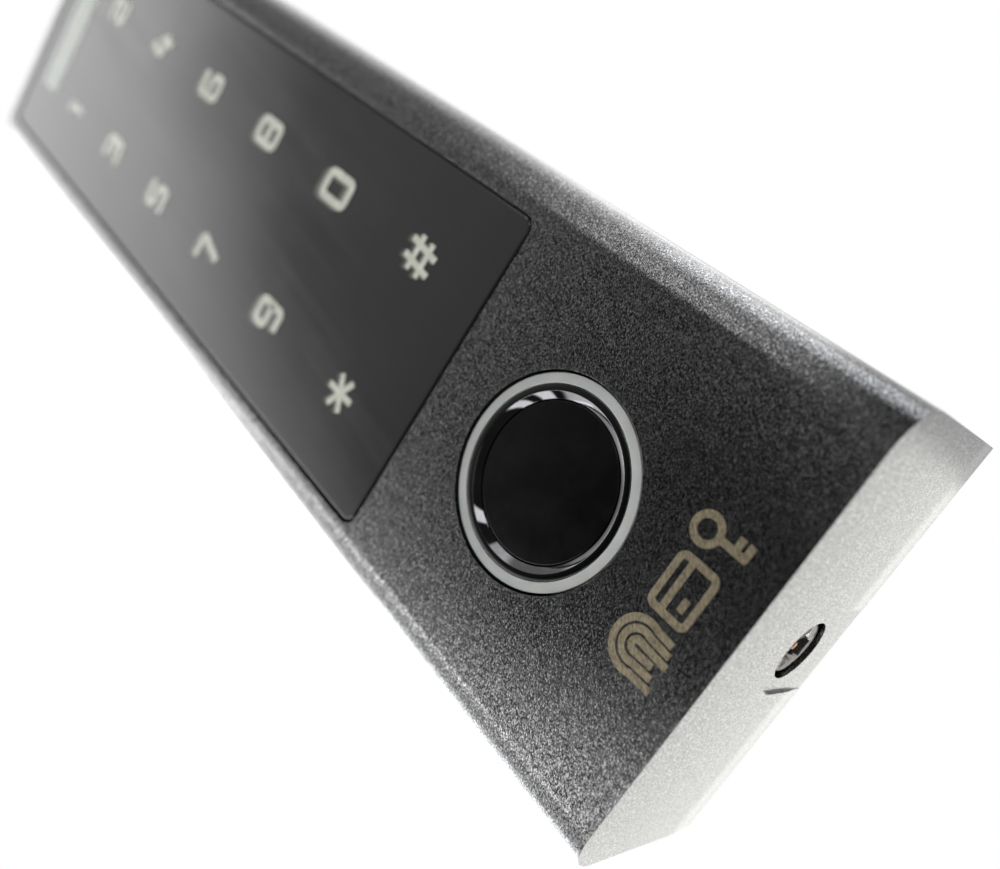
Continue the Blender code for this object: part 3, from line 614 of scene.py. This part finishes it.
def circuit_board():
    """Green solder mask over copper tracks, with tinned pads and a cloudy gloss."""
    look = Look("circuit_board", (0.015, 0.1, 0.045), 0.35)
    tracks = look.cells(2.6, "Distance", "DISTANCE_TO_EDGE")
    line = look.spread(tracks, 0.05, 0.08, 1.0, 0.0)
    vias = look.spread(look.cells(3.4), 0.14, 0.17, 1.0, 0.0)
    base = look.mix(line, (0.012, 0.085, 0.038), (0.03, 0.17, 0.075))
    look.set("Base Color", look.mix(vias, base, (0.6, 0.6, 0.55)))
    look.set("Metallic", vias)
    look.set("Roughness", look.spread(look.noise(0.8, 3.0), 0.3, 0.7, 0.28, 0.45))
    look.bump(line, 0.03, 0.6)
    return look.material


def wound_copper():
    """Flat coil of enamelled wire."""
    look = Look("wound_copper", (0.7, 0.36, 0.18), 0.3, 1.0)
    wave = look.add("ShaderNodeTexWave", wave_type="RINGS", rings_direction="Y")
    look.link(look.where, wave.inputs["Vector"])
    wave.inputs["Scale"].default_value = 0.9
    turns = wave.outputs["Fac"]
    look.set("Base Color", look.mix(turns, (0.45, 0.2, 0.08), (0.8, 0.45, 0.24)))
    look.set("Roughness", look.spread(look.noise(1.2, 3.0), 0.3, 0.7, 0.22, 0.4))
    look.bump(turns, 0.05, 0.7)
    return look.material


def amber_ribbon():
    """Flexible circuit: amber film over parallel copper tracks."""
    look = Look("amber_ribbon", (0.5, 0.28, 0.06), 0.3)
    wave = look.add("ShaderNodeTexWave", wave_type="BANDS", bands_direction="X")
    look.link(look.where, wave.inputs["Vector"])
    wave.inputs["Scale"].default_value = 0.55
    track = look.spread(wave.outputs["Fac"], 0.45, 0.6)
    look.set("Base Color", look.mix(track, (0.42, 0.2, 0.035), (0.72, 0.42, 0.14)))
    look.set("Metallic", look.maths("MULTIPLY", track, 0.6))
    look.bump(track, 0.02, 0.6)
    return look.material


def lamp_body():
    """Surface-mount lamp: white body with a yellow phosphor window."""
    look = Look("lamp_body", (0.8, 0.8, 0.76), 0.4)
    spot = look.spread(look.noise(1.6, 1.0), 0.48, 0.54)
    look.set("Base Color", look.mix(spot, (0.8, 0.8, 0.76), (0.85, 0.62, 0.14)))
    look.set("Roughness", look.spread(look.noise(0.4, 2.0), 0.3, 0.7, 0.3, 0.5))
    look.bump(look.noise(0.3, 2.0), 0.01, 0.4)
    return look.material


def bronze_print():
    """Raised bronze print with a fine drawn grain and dull dark pits."""
    look = Look("bronze_print", (0.3, 0.25, 0.16), 0.42, 0.6)
    drawn = look.stretched((2.0, 1.0, 0.45), (0.0, math.radians(51), 0.0))
    grain = look.noise(0.22, 3.0, 0.6, drawn)
    pits = look.spread(look.noise(0.3, 2.0), 0.6, 0.7, 0.0, 0.6)
    tone = look.mix(look.spread(grain, 0.36, 0.64), (0.13, 0.108, 0.07), (0.3, 0.255, 0.165))
    look.set("Base Color", look.mix(pits, tone, (0.05, 0.042, 0.028)))
    look.set("Roughness", look.spread(grain, 0.35, 0.7, 0.52, 0.36))
    look.bump(grain, 0.03, 0.8)
    return look.material


LOOKS = {
    "coat": powder_coat(),
    "panel": smoked_panel(),
    "cream": printed_cream(),
    "window": milky("status_window", (0.56, 0.57, 0.53), 0.03),
    "diffuser": milky("diffuser", (0.72, 0.72, 0.66), 0.0),
    "ring": milky("ring_light_guide", (0.5, 0.515, 0.5), 0.0),
    "chrome": dark_chrome(),
    "sensor": sensor_black(),
    "bronze": bronze_print(),
    "zinc": zinc_plate(),
    "steel": brushed_metal("plain_steel", (0.42, 0.42, 0.42), (0.66, 0.66, 0.66), 0.3, "Z"),
    "screw": brushed_metal("screw_steel", (0.17, 0.16, 0.15), (0.42, 0.395, 0.37), 0.24, "Z"),
    "can": brushed_metal("satin_can", (0.6, 0.61, 0.63), (0.8, 0.81, 0.83), 0.32, "Y"),
    "black": moulded("black_plastic", (0.022, 0.022, 0.024), 0.5),
    "white": moulded("white_nylon", (0.42, 0.415, 0.38), 0.42, 0.5, 0.012),
    "rubber": moulded("black_rubber", (0.018, 0.018, 0.018), 0.72, 0.25, 0.012),
    "jacket": moulded("cable_jacket", (0.035, 0.035, 0.037), 0.5, 0.6, 0.015),
    "tape": moulded("foam_tape", (0.02, 0.02, 0.02), 0.85, 0.3, 0.05),
    "epoxy": moulded("moulded_epoxy", (0.022, 0.022, 0.024), 0.45, 0.15, 0.012),
    "relay": moulded("relay_case", (0.02, 0.075, 0.26), 0.32, 0.8, 0.008),
    "board": circuit_board(),
    "copper": wound_copper(),
    "ribbon": amber_ribbon(),
    "lamp": lamp_body(),
}

# Which look each carried-over CAD node wears, by its material slot in the record
SLOT_LOOKS = {
    "housing": "coat", "touch_panel": "panel", "adhesive_tape": "tape", "diffuser": "diffuser",
    "circuit_board": "board", "copper": "copper", "light_ring": "ring", "bezel": "chrome",
    "sensor_face": "sensor", "seal": "rubber", "black_plastic": "black", "white_plastic": "white",
    "ribbon": "ribbon", "chip": "epoxy", "relay": "relay", "lamp": "lamp", "aluminium": "can",
    "cable": "jacket", "steel": "steel", "dark_steel": "screw", "zinc_steel": "zinc",
}


def dress_cad_nodes():
    """Gives each CAD node the look of its material slot in the record."""
    slots = {part["node"]: part["material_slot"] for part in frame["record"]["subparts"]}
    for name, node in NODES.items():
        node.data.materials.clear()
        node.data.materials.append(LOOKS[SLOT_LOOKS[slots[name]]])


# ------------------------------------------------------------------ terminal body


def crown_end(bm, rear, level):
    """Lets the flat end face curl up a little towards its rear edge."""
    for inward, _ in END_CROWN[:-1]:
        bmesh.ops.bisect_plane(bm, geom=list(bm.verts) + list(bm.edges) + list(bm.faces), dist=1e-4,
                               plane_co=(0, rear - inward, 0), plane_no=(0, 1, 0))
    for vert in bm.verts:
        if vert.co.z < level + 0.01:
            for inward, lift in END_CROWN:
                if abs(vert.co.y - rear + inward) < 0.01:
                    vert.co.z = level + lift


def build_housing():
    """The CAD housing with its sharp edges broken by a small radius and its end slightly crowned."""
    low, high = node_box("front_housing")
    bm = cad_copy("front_housing")
    crown_end(bm, high.y, low.z)
    shell = place("housing_shell", bm, LOOKS["coat"], "terminal", bevel=0.27, segments=3)
    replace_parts(shell, "front_housing")


def build_panel():
    """Smoked panel with rounded corners and a polished round edge."""
    low, high = node_box("touch_panel")
    outline = rounded_rectangle((low.x, low.z), (high.x, high.z), 1.6)
    panel = place("smoked_touch_panel", prism(outline, low.y, high.y), LOOKS["panel"], "terminal",
                  bevel=0.35, segments=5)
    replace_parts(panel, "touch_panel")


GLYPHS = {
    "0": [([(-1.06, -1.06), (1.06, -1.06), (1.06, 1.06), (-1.06, 1.06)], True)],
    "1": [([(-0.55, 0.6), (0.15, 1.08), (0.15, -1.2)], False)],
    "2": [([(-1, 0.75), (-1, 1), (1, 1), (1, 0), (-1, 0), (-1, -1), (1.3, -1)], False)],
    "3": [([(-1.2, 1), (1, 1), (1, -1), (-1.2, -1)], False), ([(-0.6, 0), (1, 0)], False)],
    "4": [([(-0.3, 1.2), (-1, -0.35), (1.3, -0.35)], False), ([(0.6, 0.4), (0.6, -1.2)], False)],
    "5": [([(1.2, 1), (-1, 1), (-1, 0.1), (1, 0.1), (1, -1), (-1.2, -1)], False)],
    "6": [([(1.1, 1), (-1, 1), (-1, -1), (1, -1), (1, 0.05), (-1, 0.05)], False)],
    "7": [([(-1.3, 1), (1, 1), (-0.1, -1.2)], False)],
    "8": [([(-1, -1), (1, -1), (1, 1), (-1, 1)], True), ([(-1, 0), (1, 0)], False)],
    "9": [([(-0.75, -1), (1, -1), (1, 1), (-1, 1), (-1, 0), (1, 0)], False)],
    "*": [([(math.cos(a) * 1.55, math.sin(a) * 1.0), (-math.cos(a) * 1.55, -math.sin(a) * 1.0)], False)
          for a in (math.radians(30), math.radians(90), math.radians(150))],
    "#": [([(-0.9, -1.05), (-0.42, 1.05)], False), ([(0.42, -1.05), (0.9, 1.05)], False),
          ([(-1.5, -0.4), (1.35, -0.4)], False), ([(-1.35, 0.4), (1.5, 0.4)], False)],
}


def legend_strokes(symbol, centre, front, lift, glow):
    """The strokes of one key legend, each a hair higher than the one before."""
    half_x, half_z = DIGIT_HALF
    width = SIGN_STROKE if symbol in "*#" else DIGIT_STROKE
    strokes = []
    for layer, (points, closed) in enumerate(GLYPHS[symbol]):
        path = [(centre.x + x * half_x, centre.y + z * half_z) for x, z in points]
        path = softened(path, CORNER_SOFTNESS, closed)
        height = lift + layer * LAYER_STEP
        stroke = ribbon(path, width, front - height, height + PRINT_ROOT, closed)
        tint(stroke, glow)
        strokes.append(stroke)
    return strokes


def tint(bm, glow):
    """Stores how bright the print is on every corner of a stroke."""
    layer = bm.loops.layers.float_color.new("glow")
    for face in bm.faces:
        for loop in face.loops:
            loop[layer] = (glow, glow, glow, 1.0)


def build_legends():
    """Key legends: crisp print over a painted pale halo, of layers that drift away and fade."""
    front = node_box("touch_panel")[0].y
    for number, symbol in enumerate(LEGENDS, start=1):
        lamp = middle(f"key_lamp_{number}")
        centre = Vector((lamp.x, lamp.z))
        name = {"*": "star", "#": "hash"}.get(symbol, symbol)
        strokes = []
        reach = SIGN_HALO if symbol in "*#" else 1.0
        # Painted halo of light: pale copies of the print, set aside and up, each fainter than the one before
        for layer in range(HALO_LAYERS, 0, -1):
            share = layer / HALO_LAYERS
            lift = PRINT_LIFT - layer * LAYER_STEP * 2
            glow = HALO_GLOW * reach * (1 - share) ** HALO_FADING + HALO_LEAST
            strokes += legend_strokes(symbol, centre + HALO_DRIFT * reach * share, front, lift, glow)
        strokes += legend_strokes(symbol, centre, front, PRINT_LIFT + LAYER_STEP, 1.0)
        place(f"key_legend_{name}", gathered(strokes), LOOKS["cream"], "terminal")


def build_status_window():
    """Pale print window in the panel, in front of the status light bar."""
    low, high = node_box("status_light_bar")
    front = node_box("touch_panel")[0].y
    outline = rounded_rectangle((low.x, low.z), (high.x, high.z), 0.8)
    place("status_window", prism(outline, front - PRINT_LIFT, front + PRINT_ROOT), LOOKS["window"],
          "terminal")


def fingerprint_lines(centre):
    """Nested arches with legs that lean out a little and end at different heights."""
    lean, foot_step, heel_step = 0.12, 0.55, 0.35
    crown = Vector((centre.x, centre.y + MARK_HALF_HEIGHT - RIDGE_RADII[-1]))
    floor = centre.y - MARK_HALF_HEIGHT
    lines = []
    for ring, radius in enumerate(RIDGE_RADII):
        path = arc(crown, radius, -20, 200, 18)
        foot = Vector((path[-1][0] + lean, floor + foot_step * (2 - ring)))
        heel = Vector((path[0][0] - lean, floor + heel_step * ring))
        lines.append(([heel] + path + [foot], False))
    return lines


def card_lines(centre):
    """A card with a stripe and a chip."""
    reach, rise = 2.6, MARK_HALF_HEIGHT - 0.9
    low, high = (centre.x - reach, centre.y - rise), (centre.x + reach, centre.y + rise)
    outline = rounded_rectangle(low, high, 0.6, 5)
    stripe = [(low[0], centre.y + rise * 0.35), (high[0], centre.y + rise * 0.35)]
    chip = [(centre.x - 1.6, centre.y - rise * 0.4), (centre.x - 0.3, centre.y - rise * 0.4)]
    return [(outline, True), (stripe, False), (chip, False)]


def key_lines(centre):
    """A key with a round bow and two teeth."""
    bow = (centre.x, centre.y + MARK_HALF_HEIGHT - 1.4)
    foot = centre.y - MARK_HALF_HEIGHT
    ring = arc(bow, 1.3, 0, 345, 23)
    shaft = [(centre.x, bow[1] - 1.3), (centre.x, foot)]
    teeth = [[(centre.x, foot + rise), (centre.x + 1.35, foot + rise)] for rise in (0.3, 1.35)]
    return [(ring, True), (shaft, False)] + [(tooth, False) for tooth in teeth]


def build_mark():
    """Row of generic pictograms in bronze below the reader: fingerprint, card, key."""
    low = node_box("front_housing")[0]
    sensor_low = node_box("sensor_light_ring")[0].z
    level = (low.z + sensor_low) / 2 - MARK_DROP
    strokes = []
    for x, lines in zip(MARK_PLACES, (fingerprint_lines, card_lines, key_lines)):
        for layer, (path, closed) in enumerate(lines(Vector((x, level)))):
            front = low.y - MARK_LIFT - layer * LAYER_STEP
            strokes.append(ribbon(path, MARK_STROKE, front, MARK_LIFT + PRINT_ROOT, closed))
    place("bronze_mark", gathered(strokes), LOOKS["bronze"], "terminal", bevel=0.025, segments=1)


# -------------------------------------------------------------- fingerprint reader


def place_round(name, profile, centre, look):
    """A piece of the reader, turned about the reader's axis."""
    return place(name, turned(profile, "y", centre, READER_STEPS), LOOKS[look], "terminal")


def build_ring_light(centre):
    """Light ring with small round lips."""
    low, high = node_box("sensor_light_ring")
    outer = (high.x - low.x) / 2
    inner = outer - RING_WIDTH
    profile = softened([(inner, high.y), (inner, low.y), (outer, low.y), (outer, high.y)], LIP_RADIUS, True)
    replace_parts(place_round("ring_light", profile, centre, "ring"), "sensor_light_ring")


def build_bezel(centre, face_radius):
    """Bezel with a flat rim in front and a chamfer that falls in towards the touch face."""
    low, high = node_box("sensor_bezel")
    outer = (high.x - low.x) / 2 + RIM_OVERLAP
    rim = outer - RIM_WIDTH
    bore, front = face_radius + BORE_GAP, low.y + 0.02
    chamfer_foot = front + (rim - bore) * math.tan(CHAMFER_TILT)
    profile = [(bore, chamfer_foot), (rim, front), (outer, front), (outer, high.y), (bore, high.y)]
    profile = softened(profile, LIP_RADIUS / 2, True, 3)
    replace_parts(place_round("chamfered_bezel", profile, centre, "chrome"), "sensor_bezel")


def build_touch_face(centre, face_radius):
    """Touch face: a disc with a rounded front edge."""
    low, high = node_box("sensor_face")
    profile = [(0, high.y), (face_radius, high.y), (face_radius, low.y), (0, low.y)]
    profile = softened(profile, FACE_LIP_RADIUS, False, 4)
    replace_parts(place_round("touch_face", profile, centre, "sensor"), "sensor_face")


def build_sensor():
    """The fingerprint reader: light ring, bezel and touch face round one axis."""
    ring = middle("sensor_light_ring")
    centre = (ring.x, 0, ring.z)
    face_low, face_high = node_box("sensor_face")
    face_radius = (face_high.x - face_low.x) / 2
    build_ring_light(centre)
    build_bezel(centre, face_radius)
    build_touch_face(centre, face_radius)


# ------------------------------------------------------------------- security screw


def thread_crest(height, turn, start, end):
    """How far the thread rises at a height and a share of a turn: 0 in its root, 1 on its crest."""
    phase = (height / THREAD_PITCH - turn) % 1.0
    crest = max(0.0, min(1.0, 1.5 - 3.0 * abs(phase - 0.5)))
    taper = min(1.0, (height - start) / 0.35, (end - height) / 0.45)
    return crest * max(0.0, taper)


def threaded_rod(start, end, centre):
    """Rod whose surface carries a screw thread; both ends taper into the core."""
    around, rows = 48, int((end - start) / THREAD_PITCH * 14)
    core = THREAD_RADIUS - THREAD_DEPTH
    bm = bmesh.new()
    rings = []
    for row in range(rows + 1):
        height = start + (end - start) * row / rows
        ring = []
        for turn in (side / around for side in range(around)):
            radius = core + THREAD_DEPTH * thread_crest(height, turn, start, end)
            angle = turn * math.tau
            ring.append(bm.verts.new((centre.x + radius * math.cos(angle),
                                      centre.y + radius * math.sin(angle), height)))
        rings.append(ring)
    skin(bm, rings, closed=False)
    return bm


def lobed_outline(centre, reach, dip, steps=72):
    """Six-lobed socket outline."""
    points = []
    for step in range(steps):
        angle = math.tau * step / steps
        radius = reach - dip * (0.5 - 0.5 * math.cos(6 * angle)) ** 0.8
        points.append((centre.x + radius * math.cos(angle), centre.y + radius * math.sin(angle)))
    return points


def build_screw_body(centre, low, head, thread_low):
    """Pan head of the given radius with a six-lobed socket, on a thin neck."""
    head_top = node_box("screw_washer")[0].z - NECK_GAP
    profile = [(0, low), (head, low), (head, head_top)]
    profile += [(NECK_RADIUS, head_top), (NECK_RADIUS, thread_low), (0, thread_low)]
    profile = softened(profile, 0.28, False, 5)
    screw = place("socket_screw", turned(profile, "z", (centre.x, centre.y, 0), 96), LOOKS["screw"],
                  "security_screw")
    cut(screw, prism(lobed_outline(centre, LOBE_REACH, LOBE_DIP), low - 1, low + SOCKET_DEPTH, "z"))
    screw.data.set_sharp_from_angle(angle=math.radians(30))
    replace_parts(screw, "security_screw")


def build_screw_pin(centre, low):
    """Tamper pin in the socket, copper-coloured as in the photograph."""
    root, tip = low + SOCKET_DEPTH + 0.1, low + PIN_SINK
    profile = softened([(0, root), (PIN_RADIUS, root), (PIN_RADIUS, tip), (0, tip)], 0.12, False)
    place("screw_pin", turned(profile, "z", (centre.x, centre.y, 0), 32), LOOKS["copper"],
          "security_screw")


def build_security_screw():
    """Security screw: head and neck, tamper pin and thread."""
    low, high = node_box("security_screw")
    centre = middle("security_screw")
    thread_low = node_box("screw_keeper_ring")[1].z + NECK_GAP
    build_screw_body(centre, low.z, (high.x - low.x) / 2 - HEAD_PLAY, thread_low)
    build_screw_pin(centre, low.z)
    place("screw_thread", threaded_rod(thread_low - 0.02, high.z, centre), LOOKS["screw"],
          "security_screw", sharp=60)


# ------------------------------------------------------------------ wall plate side


def build_wall_plate():
    """The CAD wall plate with its sheet edges rounded."""
    plate = place("zinc_wall_plate", cad_copy("wall_plate"), LOOKS["zinc"], "wall_plate",
                  bevel=0.18, segments=3)
    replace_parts(plate, "wall_plate")


def cut_plug_windows(body, low, high):
    """Cuts the row of contact windows into the plug's wall side."""
    pitch = (high.x - low.x - 2 * PLUG_SIDE_WALL) / PLUG_WAYS
    bottom, top = (low.z + rise for rise in PLUG_WINDOW_RISE)
    floor = high.y - PLUG_RIDGE_HEIGHT - PLUG_WINDOW_DEPTH
    for way in range(PLUG_WAYS):
        left = low.x + PLUG_SIDE_WALL + (way + 0.25) * pitch
        window = rounded_rectangle((left, bottom), (left + pitch / 2, top), 0.15, 3)
        cut(body, prism(window, floor, high.y + 1))
    body.data.set_sharp_from_angle(angle=math.radians(30))


def build_plug():
    """Cable plug with a stepped shoulder, a row of contact windows and a thumb ridge."""
    low, high = node_box("cable_plug")
    shoulder = high.z - PLUG_SHOULDER
    outline = [(low.x, low.z), (high.x, low.z), (high.x, shoulder), (high.x - PLUG_SHOULDER_INSET, high.z),
               (low.x + PLUG_SHOULDER_INSET, high.z), (low.x, shoulder)]
    body = place("plug_body", prism(outline, low.y, high.y - PLUG_RIDGE_HEIGHT), LOOKS["white"],
                 "terminal", bevel=0.2, segments=3)
    cut_plug_windows(body, low, high)
    bottom, top = (shoulder - drop for drop in PLUG_RIDGE_DROP)
    ridge = rounded_rectangle((low.x + PLUG_RIDGE_INSET, bottom), (high.x - PLUG_RIDGE_INSET, top), 0.3, 5)
    place("plug_thumb_ridge", prism(ridge, high.y - 0.5, high.y), LOOKS["white"], "terminal",
          bevel=0.12, segments=2)
    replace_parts(body, "cable_plug")


# ------------------------------------------------------------- stage, light, camera


def pale_floor():
    """Pale matt floor that is solid from above and clear from below."""
    look = Look("pale_floor", (0.5, 0.5, 0.495), 0.8)
    look.set("Base Color", look.mix(look.noise(60.0, 3.0), (0.48, 0.48, 0.475), (0.52, 0.52, 0.515)))
    clear = look.add("ShaderNodeBsdfTransparent")
    sides = look.add("ShaderNodeMixShader")
    look.link(look.add("ShaderNodeNewGeometry").outputs["Backfacing"], sides.inputs[0])
    look.link(look.shader.outputs[0], sides.inputs[1])
    look.link(clear.outputs[0], sides.inputs[2])
    look.link(sides.outputs[0], look.tree.nodes["Material Output"].inputs["Surface"])
    return look.material


def build_floor():
    """Floor just under the terminal, which neither shades it nor shows in its reflections."""
    bm = bmesh.new()
    level = node_box("front_housing")[0].z - FLOOR_GAP
    bmesh.ops.create_grid(bm, x_segments=1, y_segments=1, size=FLOOR_REACH)
    bmesh.ops.translate(bm, verts=bm.verts, vec=(0, 0, level))
    bmesh.ops.scale(bm, verts=bm.verts, vec=(MM,) * 3)
    mesh = bpy.data.meshes.new("floor")
    bm.to_mesh(mesh)
    bm.free()
    floor = bpy.data.objects.new("floor", mesh)
    bpy.context.scene.collection.objects.link(floor)
    mesh.materials.append(pale_floor())
    floor.visible_shadow = False
    floor.visible_diffuse = False
    floor.visible_glossy = False


class Sky(Graph):
    """The world's brightness by direction. Directions are told by their cosines with the axes."""

    def __init__(self):
        world = bpy.data.worlds.new("studio")
        bpy.context.scene.world = world
        world.use_nodes = True
        super().__init__(world.node_tree)
        self.way = self.add("ShaderNodeTexCoord").outputs["Generated"]
        right = self.towards((1, 0, 0))
        self.cosines = {"right": right, "aside": self.maths("ABSOLUTE", right),
                        "back": self.towards((0, 1, 0)), "up": self.towards((0, 0, 1))}

    def towards(self, direction):
        """The cosine between the view direction and a given one."""
        node = self.add("ShaderNodeVectorMath", operation="DOT_PRODUCT")
        self.feed(node.inputs[0], self.way)
        self.feed(node.inputs[1], Vector(direction).normalized())
        return node.outputs["Value"]

    def rise(self, value, start, full):
        """Grows smoothly from 0 to 1 as a value goes from start to full."""
        return self.spread(value, start, full, curve="SMOOTHSTEP")

    def product(self, *values):
        result = values[0]
        for value in values[1:]:
            result = self.maths("MULTIPLY", result, value)
        return result

    def total(self, *values):
        result = values[0]
        for value in values[1:]:
            result = self.maths("ADD", result, value)
        return result

    def patch(self, glow, **edges):
        """A patch of light. Each edge gives the cosines where the light starts and where it is full."""
        factors = [self.rise(self.cosines[side], *edge) for side, pairs in edges.items() for edge in pairs]
        return self.product(*factors, glow)


def room_light(sky):
    """Bright wall on the left, strips and panes at the sides, dark viewer in front, pale room behind."""
    wall_level = sky.total(WALL_GLOW, sky.patch(CORNER_GLOW, right=[(-0.47, -0.54), (-0.72, -0.57)]))
    beside_viewer = sky.rise(sky.towards(VIEWER_SIDE), *VIEWER_EDGE)
    in_smudge = sky.rise(sky.towards(SMUDGE_SIDE), *SMUDGE_EDGE)
    beside_smudge = sky.maths("SUBTRACT", 1.0, sky.product(in_smudge, SMUDGE_SHADE))
    wall = sky.product(sky.patch(1.0, up=[(0.16, 0.26)], right=[(0.1, -0.1)]),
                       wall_level, beside_viewer, beside_smudge)
    strip = sky.patch(STRIP_GLOW, up=[(0.36, 0.42), (0.74, 0.6)], right=[(0.3, 0.4)])
    panes = sky.patch(PANE_GLOW, aside=[(0.5, 0.62)], up=[(-0.16, -0.11), (0.08, 0.03)])
    low_panes = sky.patch(PANE_GLOW, right=[(-0.5, -0.62)], up=[(-0.44, -0.4), (-0.26, -0.3)])
    ceiling = sky.patch(CEILING_GLOW, up=[(0.42, 0.74)])
    sheen = sky.patch(SHEEN_GLOW, right=[(-0.14, 0.0)], back=[(-0.84, -0.9)])
    room = sky.patch(ROOM_GLOW, back=[(-0.15, 0.3)])
    return sky.total(wall, strip, panes, low_panes, ceiling, sheen, room, DARK_GLOW)


def build_world():
    """Studio round the terminal, which the camera itself sees as plain white."""
    sky = Sky()
    eye_ray = sky.add("ShaderNodeLightPath").outputs["Is Camera Ray"]
    other_ray = sky.maths("SUBTRACT", 1.0, eye_ray)
    background = sky.tree.nodes["Background"]
    sky.feed(background.inputs["Strength"], sky.total(sky.product(room_light(sky), other_ray), eye_ray))
    sky.feed(background.inputs["Color"], (1.0, 1.0, 1.0))


def add_lamp(name, place_mm, aim_mm, size_mm, radiance, colour=(1, 1, 1), only=None):
    """Square soft lamp that glows with the given radiance, if wished on some pieces only."""
    light = bpy.data.lights.new(name, "AREA")
    light.size = size_mm * MM
    light.energy = radiance * math.pi * (size_mm * MM) ** 2
    light.color = colour
    lamp = bpy.data.objects.new(name, light)
    bpy.context.scene.collection.objects.link(lamp)
    lamp.location = Vector(place_mm) * MM
    lamp.rotation_euler = (Vector(aim_mm) - Vector(place_mm)).to_track_quat("-Z", "Y").to_euler()
    lamp.visible_camera = False
    if only:
        group = bpy.data.collections.new(name + "_receivers")
        for piece in only:
            group.objects.link(piece)
        lamp.light_linking.receiver_collection = group
    return lamp


def build_lights():
    """A low lamp from behind that lights the housing only, and a soft lamp on each side."""
    shell = bpy.data.objects["housing_shell"]
    add_lamp("under_lamp", (-50, 107, -49), (0, 0, 0), 158, 1.1, (1.0, 1.0, 0.93), only=[shell])
    for side, x in (("right", 320), ("left", -320)):
        add_lamp("side_lamp_" + side, (x, 60, 120), (0, 0, 80), 220, 2.0, (0.9, 0.95, 1.0))


def build_camera():
    """Camera at the photograph's place, with its focus on the front face above the reader."""
    camera = bpy.data.cameras.new("camera")
    camera.lens = LENS
    camera.sensor_width = 36.0
    camera.clip_start = 0.001
    camera.clip_end = 20.0
    eye = bpy.data.objects.new("camera", camera)
    bpy.context.scene.collection.objects.link(eye)
    eye.location = EYE * MM
    turn = (AIM - EYE).to_track_quat("-Z", "Y").to_matrix().to_4x4()
    eye.rotation_euler = (turn @ Matrix.Rotation(-ROLL, 4, "Z")).to_euler()
    focus = bpy.data.objects.new("focus", None)
    bpy.context.scene.collection.objects.link(focus)
    focus.location = FOCUS * MM
    camera.dof.use_dof = True
    camera.dof.focus_object = focus
    camera.dof.aperture_fstop = F_STOP
    bpy.context.scene.camera = eye


dress_cad_nodes()
build_housing()
build_panel()
build_legends()
build_status_window()
build_mark()
build_sensor()
build_security_screw()
build_wall_plate()
build_plug()
build_floor()
build_world()
build_lights()
build_camera()
bpy.context.scene.view_settings.view_transform = "Standard"
